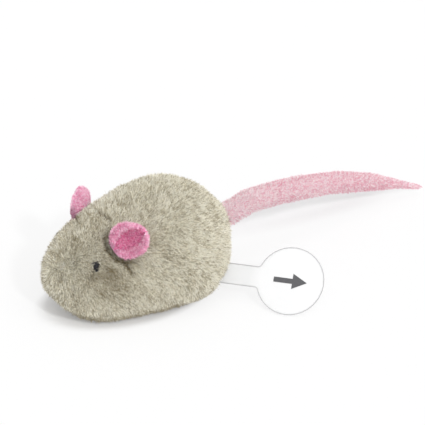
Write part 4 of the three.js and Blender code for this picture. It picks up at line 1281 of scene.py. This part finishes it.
def metal(name, color, roughness=0.32):
    """Metal with fine scratches that vary its roughness."""
    finish = Finish(name, Metallic=1.0)
    scratch = finish.noise(2600, 4, 0.7)
    finish.set(Base_Color=finish.mix(finish.noise(200, 2), times(color, 0.88), color))
    finish.set(Roughness=finish.maths("MULTIPLY_ADD", scratch, 0.22, roughness - 0.1))
    return finish.material


def speckled(name, grain, detail, dark, light, **sockets):
    """A hard material of two near shades, such as cured resin or fired ceramic."""
    finish = Finish(name, **sockets)
    finish.set(Base_Color=finish.mix(finish.noise(grain, detail), dark, light))
    return finish.material


def module_place(finish):
    """Places in the module's own frame, in metres."""
    return finish.place(turn=(TAB_TILT, 0, -TAB_HEADING), centre=tuple(c * MM for c in MODULE_SEAT))


def board_finish():
    """Laminate with lacquered traces: bands of a wave texture, cut off by a threshold."""
    finish = Finish("Board laminate", Roughness=0.4, Coat_Weight=0.3)
    wave = finish.value("ShaderNodeTexWave", {"Vector": module_place(finish), "Scale": 260, "Distortion": 5,
                                              "Detail": 1})
    trace = finish.maths("GREATER_THAN", wave, 0.72)
    finish.set(Base_Color=finish.mix(trace, (0.028, 0.145, 0.042), (0.07, 0.26, 0.075)))
    return finish.material


def resistor_finish():
    """Tan lacquer with four coloured rings along the body."""
    tan = (0.58, 0.39, 0.19)
    rings = (
        (0.2, (0.13, 0.05, 0.02)), (0.38, (0.01, 0.01, 0.01)),
        (0.56, (0.4, 0.02, 0.02)), (0.8, (0.5, 0.33, 0.06)),
    )
    stops = [(0.0, tan)]
    for place, color in rings:
        stops += [(place, color), (place + RING_WIDTH, tan)]
    finish = Finish("Resistor lacquer", Roughness=0.35)
    along = finish.parts("ShaderNodeSeparateXYZ", module_place(finish))[0]
    share = (along - RESISTOR_PLACE * MM) / (RESISTOR_LENGTH * MM) + 0.5
    finish.set(Base_Color=finish.ramp(share, *stops, steps=True))
    return finish.material


class MOUSE_OT_module(bpy.types.Operator):
    """Finishes the parts of the sound module."""

    bl_idname = "mouse.module"
    bl_label = "Sound module"

    def execute(self, context):
        housing = tuple(settings("mouse_small").housing)
        finishes = {
            "module_base module_cover motion_plug": plastic("Housing plastic", housing),
            "housing_screw_1 housing_screw_2 housing_screw_3 button_cell_1 button_cell_2 button_cell_3 "
            "motion_can motion_ball": metal("Bright steel", (0.60, 0.61, 0.63)),
            "lower_contact upper_contact": metal("Nickel strip", (0.66, 0.64, 0.6), 0.28),
            "circuit_board": board_finish(),
            "sound_chip": speckled("Chip resin", 400, 2, (0.006, 0.006, 0.007), (0.012, 0.012, 0.014),
                                   Roughness=0.2, Coat_Weight=0.4),
            "resistor": resistor_finish(),
            "capacitor": plastic("Capacitor sleeve", (0.02, 0.035, 0.09), 600),
            "sounder_plate": metal("Brass sheet", (0.66, 0.45, 0.13), 0.3),
            "sounder_ceramic": speckled("Piezo ceramic", 1500, 3, (0.72, 0.71, 0.66), (0.83, 0.82, 0.78),
                                        Roughness=0.45),
            "sounder_wire_red": plastic("Red insulation", (0.42, 0.02, 0.016), 1500),
            "sounder_wire_black": plastic("Black insulation", (0.012, 0.012, 0.014), 1500),
        }
        for names, material in finishes.items():
            for name in names.split():
                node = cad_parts[name]
                node.data.materials.clear()
                node.data.materials.append(material)
        return {"FINISHED"}


class MOUSE_OT_stuffing(bpy.types.Operator):
    """Makes the loose fibre filling with the module's pocket, drawn in where the plush folds and in tufts."""

    bl_idname = "mouse.stuffing"
    bl_label = "Stuffing"

    def execute(self, context):
        mesh = bpy.data.meshes.new("fibre_filling")
        with edited(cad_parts["fibre_stuffing"].data, mesh) as work:
            bmesh.ops.remove_doubles(work, verts=work.verts, dist=0.01 * MM)
            bmesh.ops.subdivide_edges(work, edges=work.edges, cuts=3, use_grid_fill=True)
            bmesh.ops.triangulate(work, faces=work.faces)
        points, outward = np.empty(len(mesh.vertices) * 3), np.empty(len(mesh.vertices) * 3)
        mesh.vertices.foreach_get("co", points)
        mesh.vertices.foreach_get("normal", outward)
        points, outward = points.reshape(-1, 3) / MM, outward.reshape(-1, 3)
        tufts = np.abs(patchy(points, 5.0, 81)) * 0.5 + np.abs(patchy(points, 2.0, 82)) * 0.2
        tufts += 0.7 + folded(points + 2 * outward)
        mesh.vertices.foreach_set("co", ((points - outward * tufts[:, None]) * MM).astype(np.float32).ravel())
        mesh.update()
        finish = Finish("Polyester fibre", Roughness=0.9, Sheen_Weight=0.4)
        strand = finish.noise(1400, 5, 0.75)
        finish.set(Base_Color=finish.mix(strand, (0.66, 0.65, 0.62), (0.93, 0.92, 0.9)))
        finish.bump(strand, 0.7, 0.4)
        dressed(linked("fibre_filling", mesh), "mouse_body", "fibre", finish.material, "fibre_stuffing")
        return {"FINISHED"}


# Floor, light and camera

def seen_from(turn, rise):
    """The direction from the toy to a place round it: turned from straight in front, and raised."""
    return np.array((math.sin(turn) * math.cos(rise), -math.cos(turn) * math.cos(rise), math.sin(rise)))


def aimed(piece, direction):
    """Turns a lamp or a camera to look along a direction."""
    piece.rotation_mode = "QUATERNION"
    piece.rotation_quaternion = Vector(direction).to_track_quat("-Z", "Y")
    return piece


class MOUSE_OT_stage(bpy.types.Operator):
    """Sets the pale floor, the soft light and the camera at the photograph's angle."""

    bl_idname = "mouse.stage"
    bl_label = "Stage"

    def execute(self, context):
        look = settings("mouse_stage")
        corners = FLOOR_HALF * np.array(((-1, -1, 0), (1, -1, 0), (1, 1, 0), (-1, 1, 0)))
        floor = new_mesh("stage_floor", corners, np.array(((0, 1, 2, 3),)), smooth_faces=False)
        floor.data.materials.append(self.floor_finish(look))
        self.sky(context.scene, look)
        strengths = (look.key_strength, look.fill_strength)
        for (name, spread, turn, rise), strength in zip(LAMPS, strengths):
            lamp = bpy.data.lights.new(name, "SUN")
            lamp.energy, lamp.angle = strength, math.radians(spread)
            aimed(linked(name, lamp), -seen_from(math.radians(turn), math.radians(rise)))
        self.camera(context.scene, look)
        context.scene.view_settings.view_transform = "Standard"
        return {"FINISHED"}

    def sky(self, scene, look):
        """Even light from all round, which the camera sees, straight or mirrored, as white."""
        scene.world = bpy.data.worlds.new("Even light")
        scene.world.use_nodes = True
        sky = Nodes(scene.world.node_tree)
        rays = sky.node("ShaderNodeLightPath").outputs
        kinds = ("Camera", "Glossy", "Transmission")
        seen, mirrored, through = (Value(sky, rays[f"Is {kind} Ray"]) for kind in kinds)
        seen = sky.maths("MAXIMUM", sky.maths("MAXIMUM", seen, mirrored), through)
        back = sky.tree.nodes["Background"]
        sky.put(back.inputs["Color"], (1, 1, 1))
        sky.put(back.inputs["Strength"], sky.between(seen, 0, 1, look.sky_strength, 1))

    def floor_finish(self, look):
        """A pale floor; the camera sees its shadows lifted towards white, less under the toy and its tail."""
        finish = Finish("Floor", Roughness=0.9, Specular_IOR_Level=0.0, Base_Color=tuple(look.floor))
        full = look.floor_lift
        foot, streak = (
            finish.between(self.off(finish, middle, reach), start, end, share * full, full)
            for middle, reach, start, end, share in (FOOT, STREAK)
        )
        seen = finish.value("ShaderNodeLightPath")
        white = finish.value("ShaderNodeEmission", {"Strength": 1.0})
        own = Value(finish, finish.surface.outputs[0])
        lifted = finish.maths("MINIMUM", foot, streak) * seen
        output = next(node for node in finish.tree.nodes if node.type == "OUTPUT_MATERIAL")
        finish.put(output.inputs[0], finish.value("ShaderNodeMixShader", {0: lifted, 1: own, 2: white}))
        return finish.material

    def off(self, finish, middle, reach):
        """How far a place on the floor is from the middle of an ellipse, 1 on its edge."""
        centre = tuple(c * MM for c in (*middle, 0))
        along, across, _ = finish.parts("ShaderNodeSeparateXYZ", finish.place(centre=centre))
        along, across = along / (reach[0] * MM), across / (reach[1] * MM)
        return finish.maths("SQRT", along * along + across * across)

    def camera(self, scene, look):
        """The camera far off on a long lens, so that the view is nearly without perspective."""
        back = seen_from(VIEW_TURN, VIEW_RISE)
        right = np.array((math.cos(VIEW_TURN), math.sin(VIEW_TURN), 0))
        up = np.cross(back, right)
        half = FRAME_PIXELS / 2
        aim = PIXEL * ((half - ORIGIN_PIXEL[0]) * right + (ORIGIN_PIXEL[1] - half) * up)
        data = bpy.data.cameras.new("Camera")
        data.lens, data.sensor_width = look.lens, SENSOR
        distance = FRAME_PIXELS * PIXEL * look.lens / SENSOR
        data.clip_start, data.clip_end = 0.1, distance * MM * 3
        camera = aimed(linked("Camera", data), -back)
        camera.location = (aim + back * distance) * MM
        scene.camera = camera


# The add-on's panel and its classes

class MOUSE_PT_panel(bpy.types.Panel):
    """Lists the toy's pieces and their settings."""

    bl_idname = "MOUSE_PT_panel"
    bl_label = "Toy mouse"
    bl_space_type = "VIEW_3D"
    bl_region_type = "UI"
    bl_category = "Toy mouse"

    def draw(self, context):
        for operator in OPERATORS:
            self.layout.operator(operator.bl_idname)
        for name, group in GROUPS.items():
            box = self.layout.box()
            for key in group.__annotations__:
                box.prop(getattr(context.scene, name), key)


GROUPS = {
    "mouse_plush": MousePlush, "mouse_pinks": MousePinks, "mouse_small": MouseSmallParts,
    "mouse_stage": MouseStage,
}
OPERATORS = (
    MOUSE_OT_stage, MOUSE_OT_body_plush, MOUSE_OT_ears, MOUSE_OT_eyes, MOUSE_OT_tail, MOUSE_OT_tab,
    MOUSE_OT_module, MOUSE_OT_stuffing,
)
CLASSES = (*GROUPS.values(), *OPERATORS, MOUSE_PT_panel)


def register():
    """Registers the classes and gives every scene the toy's settings."""
    for cls in CLASSES:
        bpy.utils.register_class(cls)
    for name, group in GROUPS.items():
        setattr(bpy.types.Scene, name, bpy.props.PointerProperty(type=group))


def unregister():
    """Takes back what register did, in the opposite order."""
    for name in GROUPS:
        delattr(bpy.types.Scene, name)
    for cls in reversed(CLASSES):
        bpy.utils.unregister_class(cls)


def main():
    """Makes the stage and every piece."""
    register()
    for operator in OPERATORS:
        area, name = operator.bl_idname.split(".")
        getattr(getattr(bpy.ops, area), name)()


if __name__ == "__main__":
    main()
